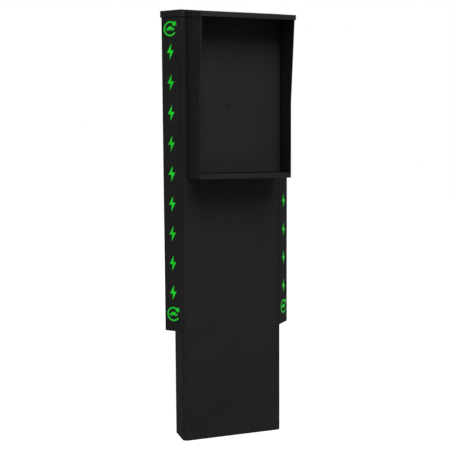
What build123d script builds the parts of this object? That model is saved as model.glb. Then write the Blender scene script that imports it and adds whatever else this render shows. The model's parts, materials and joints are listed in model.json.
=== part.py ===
"""EV charging post: a folded-steel pedestal with a rain hood for a charger and two lit side boxes.

Millimetres. The origin is on the ground under the middle of the column, which is the centre of the
four anchor holes. +Z is up, the hood faces -Y and the service door is on the +Y side.
"""
from build123d import *
from math import cos, degrees, hypot, radians, sin, sqrt
import os

os.makedirs("parts", exist_ok=True)

# ---------------------------------------------------------------- column
column_width = 377.0
column_depth = 104.0
column_height = 1524.0
column_sheet = 2.0
front_bend_radius = 15.0
rear_bend_radius = 4.0
rear_lip = 16.0
grommet_port_radius = 30.0
grommet_port_height = 1060.0
wire_port_radius = 6.0
wire_port_above = 40.0

# ---------------------------------------------------------------- base plate and anchors
base_thickness = 8.0
base_clearance = 0.5
anchor_spacing_x = 290.0
anchor_spacing_y = 56.0
anchor_hole_radius = 7.0
supply_hole_radius = 30.0
gusset_height = 60.0
gusset_run = 22.0
gusset_thickness = 5.0
gusset_inset = 40.0
gusset_toe = 8.0
gusset_top_width = 6.0
earth_x = -60.0
earth_y = 30.0
earth_radius = 4.0
earth_length = 26.0
earth_nut_across = 13.0
earth_nut_height = 6.5
earth_washer_radius = 9.0
earth_washer_thickness = 1.6

# ---------------------------------------------------------------- lit side boxes
wing_reach = 48.5
wing_bottom = 399.0
wing_sheet = 1.5
wing_flange = 12.0
wing_return = 16.0
wing_overlap = 3.0
wing_top_gap = 1.0
cover_screw_rows = 4
cover_screw_end = 60.0
cover_screw_inset = 9.0
floor_play = 0.4
sheet_gap = 0.02
diffuser_thickness = 3.0
diffuser_width = 56.0
diffuser_end_gap = 2.0
inlay_clearance = 0.1
inlay_recess = 0.2
drain_inset = 12.0
drain_radius = 3.0
icon_pitch = 105.8
bolt_count = 9
bolt_height = 56.0
bolt_width = 26.5
ring_radius = 25.5
ring_stroke = 5.0
plug_length = 14.0
plug_width = 11.0
plug_angle = 45.0
pin_width = 2.4
pin_length = 5.0
ring_open_angle = 36.0
car_length = 32.0
lowest_icon_height = 461.0
ring_to_bolt = 78.0
led_channel_width = 17.0
led_channel_height = 8.0
led_board_width = 10.0
led_board_thickness = 1.2
led_pitch = 50.0
led_size = 5.0
led_height = 1.6
led_channel_y = 8.0
led_channel_wall = 1.5
led_bottom_gap = 60.0
led_top_gap = 20.0
led_end_gap = 2.0

# ---------------------------------------------------------------- hood and charger plate
hood_width = 330.0
hood_depth = 150.0
hood_bottom = 947.5
hood_sheet = 3.0
hood_lip = 17.0
hood_flange = 22.0
visor_depth = 183.0
visor_start_height = 1212.0
plate_standoff = 64.0
plate_sheet = 2.0
plate_foot = 18.0
plate_clearance = 2.0
stud_inset = 15.0
stud_radius = 3.0
stud_heights = (1000.0, 1160.0, 1320.0, 1470.0)
stud_head_share = 1.7
stud_head_height = 1.5
stud_reach = 10.0
nut_across = 10.0
nut_height = 5.0
washer_share = 2.2
washer_thickness = 1.2
plate_top_gap = 8.0
plate_bend_radius = 2.5
cable_hole_x = -34.0
cable_hole_height = 1189.0
cable_hole_radius = 12.0
plug_recess = 0.2
grommet_lip = 3.0
lip_thickness = 2.0
lip_edge_radius = 1.2
rubber_squeeze = 0.1
wall_screw_forward = 95.0
wall_screw_height = 1444.0

# ---------------------------------------------------------------- roof
roof_sheet = 2.0
roof_rim = 22.5
roof_gap = 1.0
roof_edge_radius = 1.5
visor_drop = 31.0
visor_rim = 16.5
roof_cut_margin = 60.0
roof_side_margin = 20.0

# ---------------------------------------------------------------- rear: sill, door, upper panel
sill_height = 60.0
door_top = 918.0
door_gap = 2.5
door_sheet = 2.0
door_return = 14.0
door_range_clear = 0.3
pivot_inset = 16.0
pivot_depth = 8.0
pin_radius = 4.0
pin_clearance = 0.05
pin_head_radius = 5.5
pin_head = 3.0
pin_end_gap = 0.5
bracket_width = 24.0
bracket_depth = 16.0
frame_sheet = 2.0
frame_margin = 9.0
frame_depth = 28.0
panel_play = 1.0
tab_width = 26.0
tab_gap = 6.0
tab_shift = 2.0
seal_inset = 36.0
seal_width = 10.0
seal_thickness = 8.0
stiffener_width = 40.0
stiffener_depth = 12.0
stiffener_sheet = 1.5
stiffener_flange = 8.0
stiffener_x = -20.0
lock_x = 96.0
lock_heights = (240.0, 740.0)
lock_radius = 9.0
cam_length = 46.0
cam_thickness = 3.0
cam_clearance = 1.5
core_radius = 6.0
lock_clearance = 0.05
lock_flange_width = 5.0
lock_flange_height = 3.0
lock_flange_edge = 1.5
lock_nut_width = 4.0
lock_nut_height = 5.0
lock_gap = 2.0
key_radius = 4.0
key_pin_radius = 1.2
key_depth = 4.0
cam_edge = 4.0

# ---------------------------------------------------------------- small screws
m4_radius = 2.0
m5_radius = 2.5
screw_clearance = 0.1
m4_head_radius = 3.8
m4_head_height = 2.2
m5_head_radius = 4.75
m5_head_height = 2.6
socket_share = 0.35
socket_sink = 0.6
stud_clearance = 0.4
roof_screw_x = (-120.0, 0.0, 120.0)
panel_screw_end = 60.0
panel_screw_top = 80.0
panel_screw_rows = 4

# ---------------------------------------------------------------- electrical gear
rail_height = 600.0
rail_length = 236.0
rail_spacer = 10.0
rail_top = 7.5
rail_sheet = 1.0
rail_width = 35.0
device_fit = 0.2
rail_web_half = 13.0
rail_end_inset = 14.0
first_device_inset = 30.0
spacer_radius = 7.0
device_shoulder_depth = 44.0
device_nose_depth = 52.0
device_half = 43.0
nose_half = 22.5
device_gap = 1.0
pole_pitch = 18.0
pole_groove = 0.8
clamp_row = 33.0
clamp_depth = 8.0
breaker_hole_radius = 3.2
driver_hole_radius = 2.6
driver_hole_pitch = 12.0
breaker_width = 72.0
driver_width = 54.0
terminal_width = 6.2
terminal_count = 7
terminal_gap = 0.2
terminal_depth = 38.0
terminal_half = 30.0
terminal_row = 13.0
terminal_hole_radius = 2.0
clamp_width = 9.0
clamp_body_depth = 28.0
clamp_body_height = 48.0
clamp_corner = 3.0
toggle_sink = 3.0
toggle_hub = 6.0
toggle_width = 12.0
toggle_play = 0.4
cable_rail_height = 150.0
cable_rail_length = 250.0
cable_radius = 10.0
cable_rail_depth = 15.0
cable_rail_width = 30.0
cable_rail_sheet = 2.0
cable_rail_slot = 16.0
saddle_sheet = 2.5
saddle_x = 40.0
saddle_foot = 16.0
saddle_width = 18.0

# ---------------------------------------------------------------- worked-out places
half_width = column_width / 2
half_depth = column_depth / 2
front_face = -half_depth
rear_face = half_depth
inner_half_width = half_width - column_sheet
opening_half_width = half_width - rear_lip
roof_top = column_height + roof_sheet

# A 45 degree line x - y = corner_line just touches the column's rounded front corner.
corner_line = half_width + half_depth - front_bend_radius * (2 - sqrt(2))
wing_line = corner_line + wing_sheet * sqrt(2)
tip_x = half_width + wing_reach
tip_y = tip_x - wing_line
wing_touch_x = half_width - front_bend_radius * (1 - sqrt(0.5)) + wing_sheet * sqrt(0.5)
wing_start_x = wing_touch_x - wing_overlap
wing_rear_x = half_width + wing_sheet
wing_rear_y = half_depth - rear_bend_radius - wing_sheet
wing_top = column_height - wing_top_gap
panel_length = wing_top - wing_bottom
cover_screw_step = (panel_length - 2 * cover_screw_end) / (cover_screw_rows - 1)
cover_screw_heights = [wing_bottom + cover_screw_end + cover_screw_step * k for k in range(cover_screw_rows)]
panel_bottom = door_top + door_gap
panel_screw_x = opening_half_width + rear_lip / 2 - tab_shift
panel_screw_run = column_height - panel_bottom - panel_screw_end - panel_screw_top
panel_screw_step = panel_screw_run / (panel_screw_rows - 1)
panel_screw_low = panel_bottom + panel_screw_end
panel_screw_heights = [panel_screw_low + panel_screw_step * k for k in range(panel_screw_rows)]
roof_screw_height = roof_top - roof_rim / 2 - 1.0

# The outside of a light box's back runs from the tip to the column's rear corner.
back_length = hypot(tip_x - wing_rear_x, wing_rear_y - tip_y)
back_along = ((wing_rear_x - tip_x) / back_length, (wing_rear_y - tip_y) / back_length)
back_out = (back_along[1], -back_along[0])


def back_point(depth, run):
    """A point a run along the box's back from the tip, and a depth inside its outer face."""
    x = tip_x + back_along[0] * run - back_out[0] * depth
    y = tip_y + back_along[1] * run - back_out[1] * depth
    return x, y


def back_meets_front(depth, line):
    """Where the back, moved in by a depth, crosses the front line x - y = line."""
    x, y = back_point(depth, 0)
    return back_point(depth, (line - (x - y)) / (back_along[0] - back_along[1]))


def back_meets_side(depth, side_x):
    """Where the back, moved in by a depth, reaches a distance from the middle."""
    x, y = back_point(depth, 0)
    return back_point(depth, (side_x - x) / back_along[0])


def screw_place(side, height):
    """The plane of a back cover's screw head."""
    x, y = back_point(0, cover_screw_inset)
    normal = (side * back_out[0], back_out[1], 0)
    return Plane(origin=(side * x, y, height), z_dir=normal)


def write_piece(piece, name):
    """Label a finished piece and write it as its own STEP file."""
    piece.part.label = name
    export_step(piece.part, f"parts/{name}.step")


def screw_heads(places, shank_radius, shank_length, head_radius, head_height):
    """Button-head screws at each Plane: the head stands on the plane, the shank goes below it."""
    with BuildPart() as screws:
        for place in places:
            with BuildSketch(place):
                Circle(shank_radius)
            extrude(amount=-shank_length)
            with BuildSketch(place):
                Circle(head_radius)
            extrude(amount=head_height, taper=30)
            with BuildSketch(place.offset(head_height)):
                RegularPolygon(head_radius * socket_share, 6)
            extrude(amount=-head_height * socket_sink, mode=Mode.SUBTRACT)
    return screws


def grommet(place, hole_radius, sheet, bore_radius, lip):
    """A rubber ring round a hole in a sheet; place lies in the sheet's outer face."""
    with BuildPart() as ring:
        with BuildSketch(place.offset(-sheet - lip_thickness)):
            Circle(hole_radius + lip)
        extrude(amount=lip_thickness)
        with BuildSketch(place.offset(-sheet)):
            Circle(hole_radius - rubber_squeeze)
        extrude(amount=sheet)
        with BuildSketch(place):
            Circle(hole_radius + lip)
        extrude(amount=lip_thickness)
        rims = ring.edges().filter_by(GeomType.CIRCLE)
        fillet(rims.group_by(Axis(place.origin, place.z_dir))[-1], lip_edge_radius)
        with BuildSketch(place.offset(-sheet - lip_thickness)):
            Circle(bore_radius)
        extrude(amount=sheet + 2 * lip_thickness, mode=Mode.SUBTRACT)
    return ring


# ================================================================ column shell
stud_x = hood_width / 2 - stud_inset
wire_port_height = wing_bottom + wire_port_above

with BuildPart() as column_shell:
    with BuildSketch():
        with BuildLine():
            lip_x = opening_half_width
            wall_x = half_width - column_sheet / 2
            wall_y = half_depth - column_sheet / 2
            FilletPolyline(
                (-lip_x, wall_y),
                (-wall_x, wall_y),
                (-wall_x, -wall_y),
                (wall_x, -wall_y),
                (wall_x, wall_y),
                (lip_x, wall_y),
                radius=[
                    rear_bend_radius - column_sheet / 2,
                    front_bend_radius - column_sheet / 2,
                    front_bend_radius - column_sheet / 2,
                    rear_bend_radius - column_sheet / 2,
                ],
            )
        trace(line_width=column_sheet)
    extrude(amount=column_height)
    with BuildSketch(Plane.XZ.offset(half_depth)):
        for height in stud_heights:
            with Locations((-stud_x, height), (stud_x, height)):
                Circle(stud_radius + stud_clearance)
        with Locations((0, grommet_port_height)):
            Circle(grommet_port_radius)
    extrude(amount=-2 * column_sheet, mode=Mode.SUBTRACT)
    with BuildSketch(Plane.YZ.offset(-half_width)):
        with Locations((0, wire_port_height)):
            Circle(wire_port_radius)
    extrude(amount=column_width, mode=Mode.SUBTRACT)
    with BuildSketch(Plane.XZ.offset(-rear_face)):
        for height in panel_screw_heights:
            with Locations((-panel_screw_x, height), (panel_screw_x, height)):
                Circle(m4_radius + screw_clearance)
    extrude(amount=2 * column_sheet, mode=Mode.SUBTRACT)
write_piece(column_shell, "column_shell")

port_plane = Plane(origin=(0, front_face, grommet_port_height), x_dir=(1, 0, 0), z_dir=(0, -1, 0))
port_bore = grommet_port_radius - 2 * grommet_lip
column_grommet = grommet(port_plane, grommet_port_radius, column_sheet, port_bore, grommet_lip)
write_piece(column_grommet, "column_grommet")

# ================================================================ base plate and gussets
base_half_x = inner_half_width - base_clearance
base_half_y = half_depth - column_sheet - base_clearance

with BuildPart() as base_plate:
    with BuildSketch():
        RectangleRounded(2 * base_half_x, 2 * base_half_y, front_bend_radius - column_sheet)
        with GridLocations(anchor_spacing_x, anchor_spacing_y, 2, 2):
            Circle(anchor_hole_radius, mode=Mode.SUBTRACT)
        Circle(supply_hole_radius, mode=Mode.SUBTRACT)
    extrude(amount=base_thickness)
write_piece(base_plate, "base_plate")

gusset_x = anchor_spacing_x / 2 - gusset_inset
with BuildPart() as base_gussets:
    for x in (-gusset_x, gusset_x):
        with BuildSketch(Plane.YZ.offset(x - gusset_thickness / 2)):
            with BuildLine():
                wall = -(half_depth - column_sheet)
                Polyline(
                    (wall, base_thickness),
                    (wall + gusset_run, base_thickness),
                    (wall + gusset_run, base_thickness + gusset_toe),
                    (wall + gusset_top_width, base_thickness + gusset_height),
                    (wall, base_thickness + gusset_height),
                    close=True,
                )
            make_face()
        extrude(amount=gusset_thickness)
write_piece(base_gussets, "base_gussets")

with BuildPart() as earth_stud:
    earth_place = Plane(origin=(earth_x, earth_y, base_thickness))
    with BuildSketch(earth_place):
        Circle(earth_radius)
    extrude(amount=earth_length)
    for height in (0.0, 2 * earth_nut_height):
        with BuildSketch(earth_place.offset(height)):
            RegularPolygon(earth_nut_across / 2, 6, major_radius=False)
        extrude(amount=earth_nut_height)
    with BuildSketch(earth_place.offset(earth_nut_height + 1.5)):
        Circle(earth_washer_radius)
    extrude(amount=earth_washer_thickness)
write_piece(earth_stud, "earth_stud")

# ================================================================ lit side boxes
icon_heights = [lowest_icon_height + ring_to_bolt + icon_pitch * k for k in range(bolt_count)]
ring_heights = (lowest_icon_height, icon_heights[-1] + ring_to_bolt)


def lightning_bolt(shrink):
    """A six-point lightning bolt round the local origin; its short edges move in by shrink."""
    waist = 0.07 * bolt_height
    width = bolt_width * (1 - shrink / waist)
    height = bolt_height * (1 - shrink / waist)
    with BuildLine() as outline:
        Polyline(
            (0.14 * width, 0.50 * height),
            (-0.50 * width, -0.07 * height),
            (-0.06 * width, -0.07 * height),
            (-0.14 * width, -0.50 * height),
            (0.50 * width, 0.07 * height),
            (0.06 * width, 0.07 * height),
            close=True,
        )
    make_face(outline.edges())


def charging_ring(shrink):
    """An open cable ring that ends in a two-pin plug; every edge moves in by shrink."""
    mid_radius = ring_radius - ring_stroke / 2
    start_angle = plug_angle + 8.0
    swing = 360.0 - ring_open_angle - start_angle - degrees(shrink / mid_radius)
    with BuildLine() as outline:
        CenterArc((0, 0), mid_radius, start_angle, swing)
    trace(outline.edges(), line_width=ring_stroke - 2 * shrink)
    plug_x = mid_radius * cos(radians(plug_angle))
    plug_y = mid_radius * sin(radians(plug_angle))
    with Locations(Location((plug_x, plug_y), plug_angle)):
        Rectangle(plug_length - 2 * shrink, plug_width - 2 * shrink)
    pin_angle = plug_angle - 18.0
    for pin_distance in (mid_radius - 0.3 * plug_width, mid_radius + 0.3 * plug_width):
        pin_x = pin_distance * cos(radians(pin_angle))
        pin_y = pin_distance * sin(radians(pin_angle))
        with Locations(Location((pin_x, pin_y), plug_angle)):
            Rectangle(pin_width - 2 * shrink, pin_length - 2 * shrink)


def small_car(shrink):
    """A plain car seen from the side, with two wheels; its edges move in by shrink."""
    sill = -0.14 * car_length
    length = car_length * (1 + shrink / sill)
    with BuildLine() as outline:
        Polyline(
            (-0.50 * length, -0.14 * length),
            (-0.50 * length, 0.02 * length),
            (-0.30 * length, 0.07 * length),
            (-0.18 * length, 0.25 * length),
            (0.18 * length, 0.25 * length),
            (0.32 * length, 0.07 * length),
            (0.50 * length, 0.02 * length),
            (0.50 * length, -0.14 * length),
            close=True,
        )
    make_face(outline.edges())
    axle = 0.27 * car_length
    with Locations((-axle, sill), (axle, sill)):
        Circle(0.13 * car_length + shrink, mode=Mode.SUBTRACT)
    with Locations((-axle, sill), (axle, sill)):
        Circle(0.09 * car_length - shrink)


def all_icons(shrink):
    """Every icon up the lit panel, with its edges moved in by shrink."""
    for height in icon_heights:
        with Locations((0, height)):
            with BuildSketch(mode=Mode.PRIVATE) as one_bolt:
                lightning_bolt(shrink)
            add(one_bolt.sketch)
    for height in ring_heights:
        with Locations((0, height)):
            with BuildSketch(mode=Mode.PRIVATE) as one_ring:
                charging_ring(shrink)
                small_car(shrink)
            add(one_ring.sketch)


def wing_plane(side, depth):
    """The lit panel's plane, its x along the panel to a viewer's right, depth below the outer face."""
    normal = Vector(side, -1, 0).normalized()
    along = Vector(1, side, 0).normalized()
    middle = Vector(side * (half_width + tip_x) / 2, 0, 0)
    middle.Y = middle.X * side - wing_line
    return Plane(origin=middle - normal * depth, x_dir=along, z_dir=normal)


def sheet_profile(points, sheet):
    """A closed face that follows a bent sheet's middle line, with a small radius at the bend."""
    with BuildLine() as outline:
        FilletPolyline(*points, radius=1.5 * sheet)
    trace(outline.edges(), line_width=sheet)


for side_name, side in (("left", -1), ("right", 1)):
    # The front panel's middle line: corner, tip, and a short return behind the back cover.
    half_sheet = wing_sheet * sqrt(0.5)
    return_depth = 1.5 * wing_sheet + sheet_gap
    fold_x, fold_y = back_meets_front(return_depth, wing_line - half_sheet)
    return_x = fold_x + back_along[0] * wing_return
    return_y = fold_y + back_along[1] * wing_return
    front_points = (
        (side * wing_start_x, wing_start_x - (wing_line - half_sheet)),
        (side * fold_x, fold_y),
        (side * return_x, return_y),
    )

    with BuildPart() as wing_panel:
        with BuildSketch(Plane.XY.offset(wing_bottom)):
            sheet_profile(front_points, wing_sheet)
        extrude(amount=panel_length)
        with BuildSketch(wing_plane(side, 0)):
            all_icons(0.0)
        extrude(amount=-2 * wing_sheet, mode=Mode.SUBTRACT)
        for height in cover_screw_heights:
            with BuildSketch(screw_place(side, height)):
                Circle(m4_radius + screw_clearance)
            extrude(amount=-3 * wing_sheet, mode=Mode.SUBTRACT)
    write_piece(wing_panel, f"wing_panel_{side_name}")

    # The back cover lies on the panel's return and turns in along the column's side wall.
    side_mid_x = half_width + wing_sheet / 2 + sheet_gap
    bend_x, bend_y = back_meets_side(wing_sheet / 2, side_mid_x)
    start_x, start_y = back_point(wing_sheet / 2, floor_play)
    cover_points = (
        (side * start_x, start_y),
        (side * bend_x, bend_y),
        (side * bend_x, bend_y - wing_flange),
    )
    with BuildPart() as wing_cover:
        with BuildSketch(Plane.XY.offset(wing_bottom)):
            sheet_profile(cover_points, wing_sheet)
        extrude(amount=panel_length)
        for height in cover_screw_heights:
            with BuildSketch(screw_place(side, height)):
                Circle(m4_radius + screw_clearance)
            extrude(amount=-3 * wing_sheet, mode=Mode.SUBTRACT)
    write_piece(wing_cover, f"wing_cover_{side_name}")

    # A plate closes the bottom of the box, just inside its sheets and round the cover's flange.
    floor_depth = 2 * wing_sheet + 4 * sheet_gap + floor_play
    floor_side_x = half_width + 5 * sheet_gap
    floor_step_x = half_width + wing_sheet + floor_play
    flange_end_y = bend_y - wing_flange - floor_play
    floor_tip = back_meets_front(floor_depth + wing_sheet, corner_line - floor_play)
    floor_back = back_meets_side(floor_depth, floor_step_x)
    with BuildPart() as wing_floor:
        with BuildSketch(Plane.XY.offset(wing_bottom)):
            with BuildLine():
                Polyline(
                    (side * floor_side_x, floor_side_x - (corner_line - floor_play)),
                    (side * floor_tip[0], floor_tip[1]),
                    (side * floor_back[0], floor_back[1]),
                    (side * floor_step_x, flange_end_y),
                    (side * floor_side_x, flange_end_y),
                    close=True,
                )
            make_face()
            with Locations((side * (half_width + drain_inset), 0)):
                Circle(drain_radius, mode=Mode.SUBTRACT)
        extrude(amount=column_sheet)
    write_piece(wing_floor, f"wing_floor_{side_name}")

    # The green sheet is bonded behind the panel, and its raised icons push through every cut-out.
    diffuser_bottom = wing_bottom + column_sheet + diffuser_end_gap
    diffuser_length = wing_top - diffuser_end_gap - diffuser_bottom
    with BuildPart() as icon_diffuser:
        behind = wing_plane(side, wing_sheet)
        with BuildSketch(behind):
            with Locations((0, diffuser_bottom + diffuser_length / 2)):
                Rectangle(diffuser_width, diffuser_length)
        extrude(amount=-diffuser_thickness)
        with BuildSketch(behind):
            all_icons(inlay_clearance)
        extrude(amount=wing_sheet - inlay_recess)
    write_piece(icon_diffuser, f"icon_diffuser_{side_name}")

    # Lamp channel on the column's side wall, with the lamp board in it.
    channel_bottom = wing_bottom + led_bottom_gap
    channel_length = wing_top - led_top_gap - channel_bottom
    channel_place = Plane.XY.offset(channel_bottom)
    board_base = half_width + led_channel_wall
    with BuildPart() as led_channel:
        with BuildSketch(channel_place):
            with Locations((side * (half_width + led_channel_height / 2), led_channel_y)):
                Rectangle(led_channel_height, led_channel_width)
            pocket_x = side * (board_base + led_channel_height / 2)
            with Locations((pocket_x, led_channel_y)):
                pocket_width = led_channel_width - 2 * led_channel_wall
                Rectangle(led_channel_height, pocket_width, mode=Mode.SUBTRACT)
        extrude(amount=channel_length)
    write_piece(led_channel, f"led_channel_{side_name}")

    led_total = int(channel_length // led_pitch)
    with BuildPart() as led_strip:
        with BuildSketch(channel_place.offset(led_end_gap)):
            with Locations((side * (board_base + led_board_thickness / 2), led_channel_y)):
                Rectangle(led_board_thickness, led_board_width)
        extrude(amount=channel_length - 2 * led_end_gap)
        chip_x = side * (board_base + led_board_thickness + led_height / 2)
        chip_bottom = channel_bottom + (channel_length - (led_total - 1) * led_pitch) / 2
        for k in range(led_total):
            with Locations((chip_x, led_channel_y, chip_bottom + k * led_pitch)):
                Box(led_height, led_size, led_size)
    write_piece(led_strip, f"led_strip_{side_name}")

# Screws through both back covers into the panel returns, and rubber rings for the lamp wires.
cover_screw_places = [screw_place(side, height) for side in (-1, 1) for height in cover_screw_heights]
cover_screws = screw_heads(cover_screw_places, m4_radius, 5.0, m4_head_radius, m4_head_height)
write_piece(cover_screws, "cover_screws")

with BuildPart() as wire_grommets:
    for side in (-1, 1):
        side_place = Plane(origin=(side * half_width, 0, wire_port_height), z_dir=(side, 0, 0))
        ring = grommet(side_place, wire_port_radius, column_sheet, wire_port_radius - 2.5, 2.0)
        add(ring.part)
write_piece(wire_grommets, "wire_grommets")

# ================================================================ hood


def roof_underside(forward):
    """Height of the roof sheet's underside at a distance in front of the column."""
    return column_height - max(forward, 0.0) * visor_drop / visor_depth


wall_front_top = visor_depth - roof_sheet - roof_gap
wall_top_gap = 0.5
wall_inner = hood_width / 2 - hood_sheet
hood_floor_top = hood_bottom + hood_lip

with BuildPart() as hood_shell:
    for side in (-1, 1):
        outer = side * hood_width / 2
        with BuildSketch(Plane.YZ.offset(outer)):
            with BuildLine():
                Polyline(
                    (front_face, hood_bottom),
                    (front_face - hood_depth, hood_bottom),
                    (front_face - hood_depth, visor_start_height),
                    (front_face - wall_front_top, roof_underside(wall_front_top) - wall_top_gap),
                    (front_face, roof_underside(0) - wall_top_gap),
                    close=True,
                )
            make_face()
        extrude(amount=-side * hood_sheet)
        flange_x = side * (hood_width / 2 - hood_flange / 2)
        flange_height = roof_underside(0) - wall_top_gap - hood_bottom
        with Locations((flange_x, front_face - hood_sheet / 2, hood_bottom + flange_height / 2)):
            Box(hood_flange, hood_sheet, flange_height)
    floor_height = hood_floor_top - hood_sheet / 2
    with Locations((0, front_face - hood_depth / 2, floor_height)):
        Box(hood_width, hood_depth, hood_sheet)
    with Locations((0, front_face - hood_depth + hood_sheet / 2, hood_bottom + hood_lip / 2)):
        Box(hood_width, hood_sheet, hood_lip)
    with BuildSketch(Plane.XZ.offset(half_depth + hood_sheet)):
        for height in stud_heights:
            with Locations((-stud_x, height), (stud_x, height)):
                Circle(stud_radius + stud_clearance)
    extrude(amount=-hood_sheet, mode=Mode.SUBTRACT)
    with BuildSketch(Plane.YZ.offset(-hood_width / 2)):
        with Locations((front_face - wall_screw_forward, wall_screw_height)):
            Circle(m5_radius + screw_clearance)
    extrude(amount=hood_width, mode=Mode.SUBTRACT)
    front_corners = hood_shell.edges().filter_by(Axis.Z).group_by(Axis.Y)[0]
    fillet(front_corners, 1.0)
write_piece(hood_shell, "hood_shell")

wall_screw_places = []
for side in (-1, 1):
    head_at = (side * wall_inner, front_face - wall_screw_forward, wall_screw_height)
    wall_screw_places.append(Plane(origin=head_at, z_dir=(-side, 0, 0)))
wall_screws = screw_heads(wall_screw_places, m5_radius, hood_sheet, m5_head_radius, m5_head_height)
write_piece(wall_screws, "wall_screws")

# ================================================================ charger mounting plate
plate_half_width = wall_inner - plate_clearance
plate_face = front_face - plate_standoff
plate_back = front_face - hood_sheet
plate_bottom = hood_floor_top + plate_clearance
plate_top = roof_underside(plate_standoff) - plate_top_gap
plate_height = plate_top - plate_bottom
pan_depth = plate_back - plate_face

with BuildPart() as charger_plate:
    with Locations((0, plate_face + pan_depth / 2, plate_bottom + plate_height / 2)):
        Box(2 * plate_half_width, pan_depth, plate_height)
    fillet(charger_plate.edges().filter_by(Axis.Z).group_by(Axis.Y)[0], plate_bend_radius)
    with Locations((0, plate_face + plate_sheet + pan_depth / 2, plate_bottom + plate_height / 2)):
        inner_width = 2 * (plate_half_width - plate_sheet)
        Box(inner_width, pan_depth, plate_height - 2 * plate_sheet, mode=Mode.SUBTRACT)
    for side in (-1, 1):
        foot_x = side * (plate_half_width - plate_foot / 2)
        with Locations((foot_x, plate_back - plate_sheet / 2, plate_bottom + plate_height / 2)):
            Box(plate_foot, plate_sheet, plate_height - 2 * plate_sheet)
    with BuildSketch(Plane.XZ.offset(-plate_back)):
        for height in stud_heights:
            with Locations((-stud_x, height), (stud_x, height)):
                Circle(stud_radius)
    extrude(amount=plate_sheet, mode=Mode.SUBTRACT)
    with BuildSketch(Plane.XZ.offset(-plate_face)):
        with Locations((cable_hole_x, cable_hole_height)):
            Circle(cable_hole_radius)
    extrude(amount=-plate_sheet, mode=Mode.SUBTRACT)
write_piece(charger_plate, "charger_plate")

# A blind rubber plug closes the cable hole, just below the face so that a charger lies flat on it.
hole_at = (cable_hole_x, plate_face + plug_recess, cable_hole_height)
hole_plane = Plane(origin=hole_at, x_dir=(1, 0, 0), z_dir=(0, -1, 0))
with BuildPart() as plate_grommet:
    with BuildSketch(hole_plane):
        Circle(cable_hole_radius - rubber_squeeze)
    extrude(amount=-(plate_sheet - plug_recess))
    with BuildSketch(hole_plane.offset(plug_recess - plate_sheet)):
        Circle(cable_hole_radius + grommet_lip)
    extrude(amount=-lip_thickness)
write_piece(plate_grommet, "plate_grommet")

stud_length = plate_sheet + hood_sheet + column_sheet + stud_reach
with BuildPart() as plate_studs:
    for height in stud_heights:
        for x in (-stud_x, stud_x):
            head_place = Plane(origin=(x, plate_back - plate_sheet, height), z_dir=(0, 1, 0))
            with BuildSketch(head_place.offset(-stud_head_height)):
                Circle(stud_radius * stud_head_share)
            extrude(amount=stud_head_height)
            with BuildSketch(head_place):
                Circle(stud_radius)
            extrude(amount=stud_length)
write_piece(plate_studs, "plate_studs")

nut_face = front_face + column_sheet
with BuildPart() as plate_nuts:
    for height in stud_heights:
        for x in (-stud_x, stud_x):
            nut_place = Plane(origin=(x, nut_face, height), z_dir=(0, 1, 0))
            with BuildSketch(nut_place):
                Circle(stud_radius * washer_share)
                Circle(stud_radius, mode=Mode.SUBTRACT)
            extrude(amount=washer_thickness)
            with BuildSketch(nut_place.offset(washer_thickness)):
                RegularPolygon(nut_across / 2, 6, major_radius=False)
                Circle(stud_radius, mode=Mode.SUBTRACT)
            extrude(amount=nut_height)
write_piece(plate_nuts, "plate_nuts")

# ================================================================ roof cap


def roof_outline(grow):
    """The roof's plan, grown by a distance beyond the post's own outline."""
    front_x = wing_line - half_depth
    with BuildLine() as outline:
        Polyline(
            (front_x, front_face),
            (tip_x, tip_y),
            (wing_rear_x, wing_rear_y),
            (wing_rear_x, rear_face),
            (-wing_rear_x, rear_face),
            (-wing_rear_x, wing_rear_y),
            (-tip_x, tip_y),
            (-front_x, front_face),
            close=True,
        )
    make_face(outline.edges())
    offset(amount=grow, kind=Kind.INTERSECTION)
    visor_reach = visor_depth - roof_sheet - roof_gap + grow
    with Locations((0, front_face - visor_reach / 2)):
        Rectangle(hood_width + 2 * grow, visor_reach)


def roof_section(lowered, rim_front, rim_back):
    """The side view between the roof's top, lowered by a distance, and a lower line."""
    back = rear_face + roof_cut_margin
    front = front_face - visor_depth - roof_side_margin
    slope = visor_drop / visor_depth
    front_top = roof_top - lowered - slope * (front_face - front)
    rim_slope = (visor_drop + visor_rim - roof_rim) / visor_depth
    with BuildLine() as outline:
        Polyline(
            (front, front_top),
            (front_face, roof_top - lowered),
            (back, roof_top - lowered),
            (back, rim_back),
            (front_face, rim_back),
            (front, rim_front - rim_slope * roof_side_margin),
            close=True,
        )
    make_face(outline.edges())


roof_span = column_width + 4 * wing_reach
rim_back_height = roof_top - roof_rim
rim_front_height = roof_top - visor_drop - visor_rim
roof_block_low = rim_front_height - roof_cut_margin
roof_block_height = 3 * roof_cut_margin

with BuildPart() as roof_cavity:
    with BuildSketch(Plane.XY.offset(roof_block_low)):
        roof_outline(roof_gap)
    extrude(amount=roof_block_height)
    with BuildSketch(Plane.YZ.offset(-roof_span / 2)):
        roof_section(roof_sheet, rim_front_height - roof_side_margin, rim_back_height - roof_side_margin)
    extrude(amount=roof_span, mode=Mode.INTERSECT)

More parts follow.
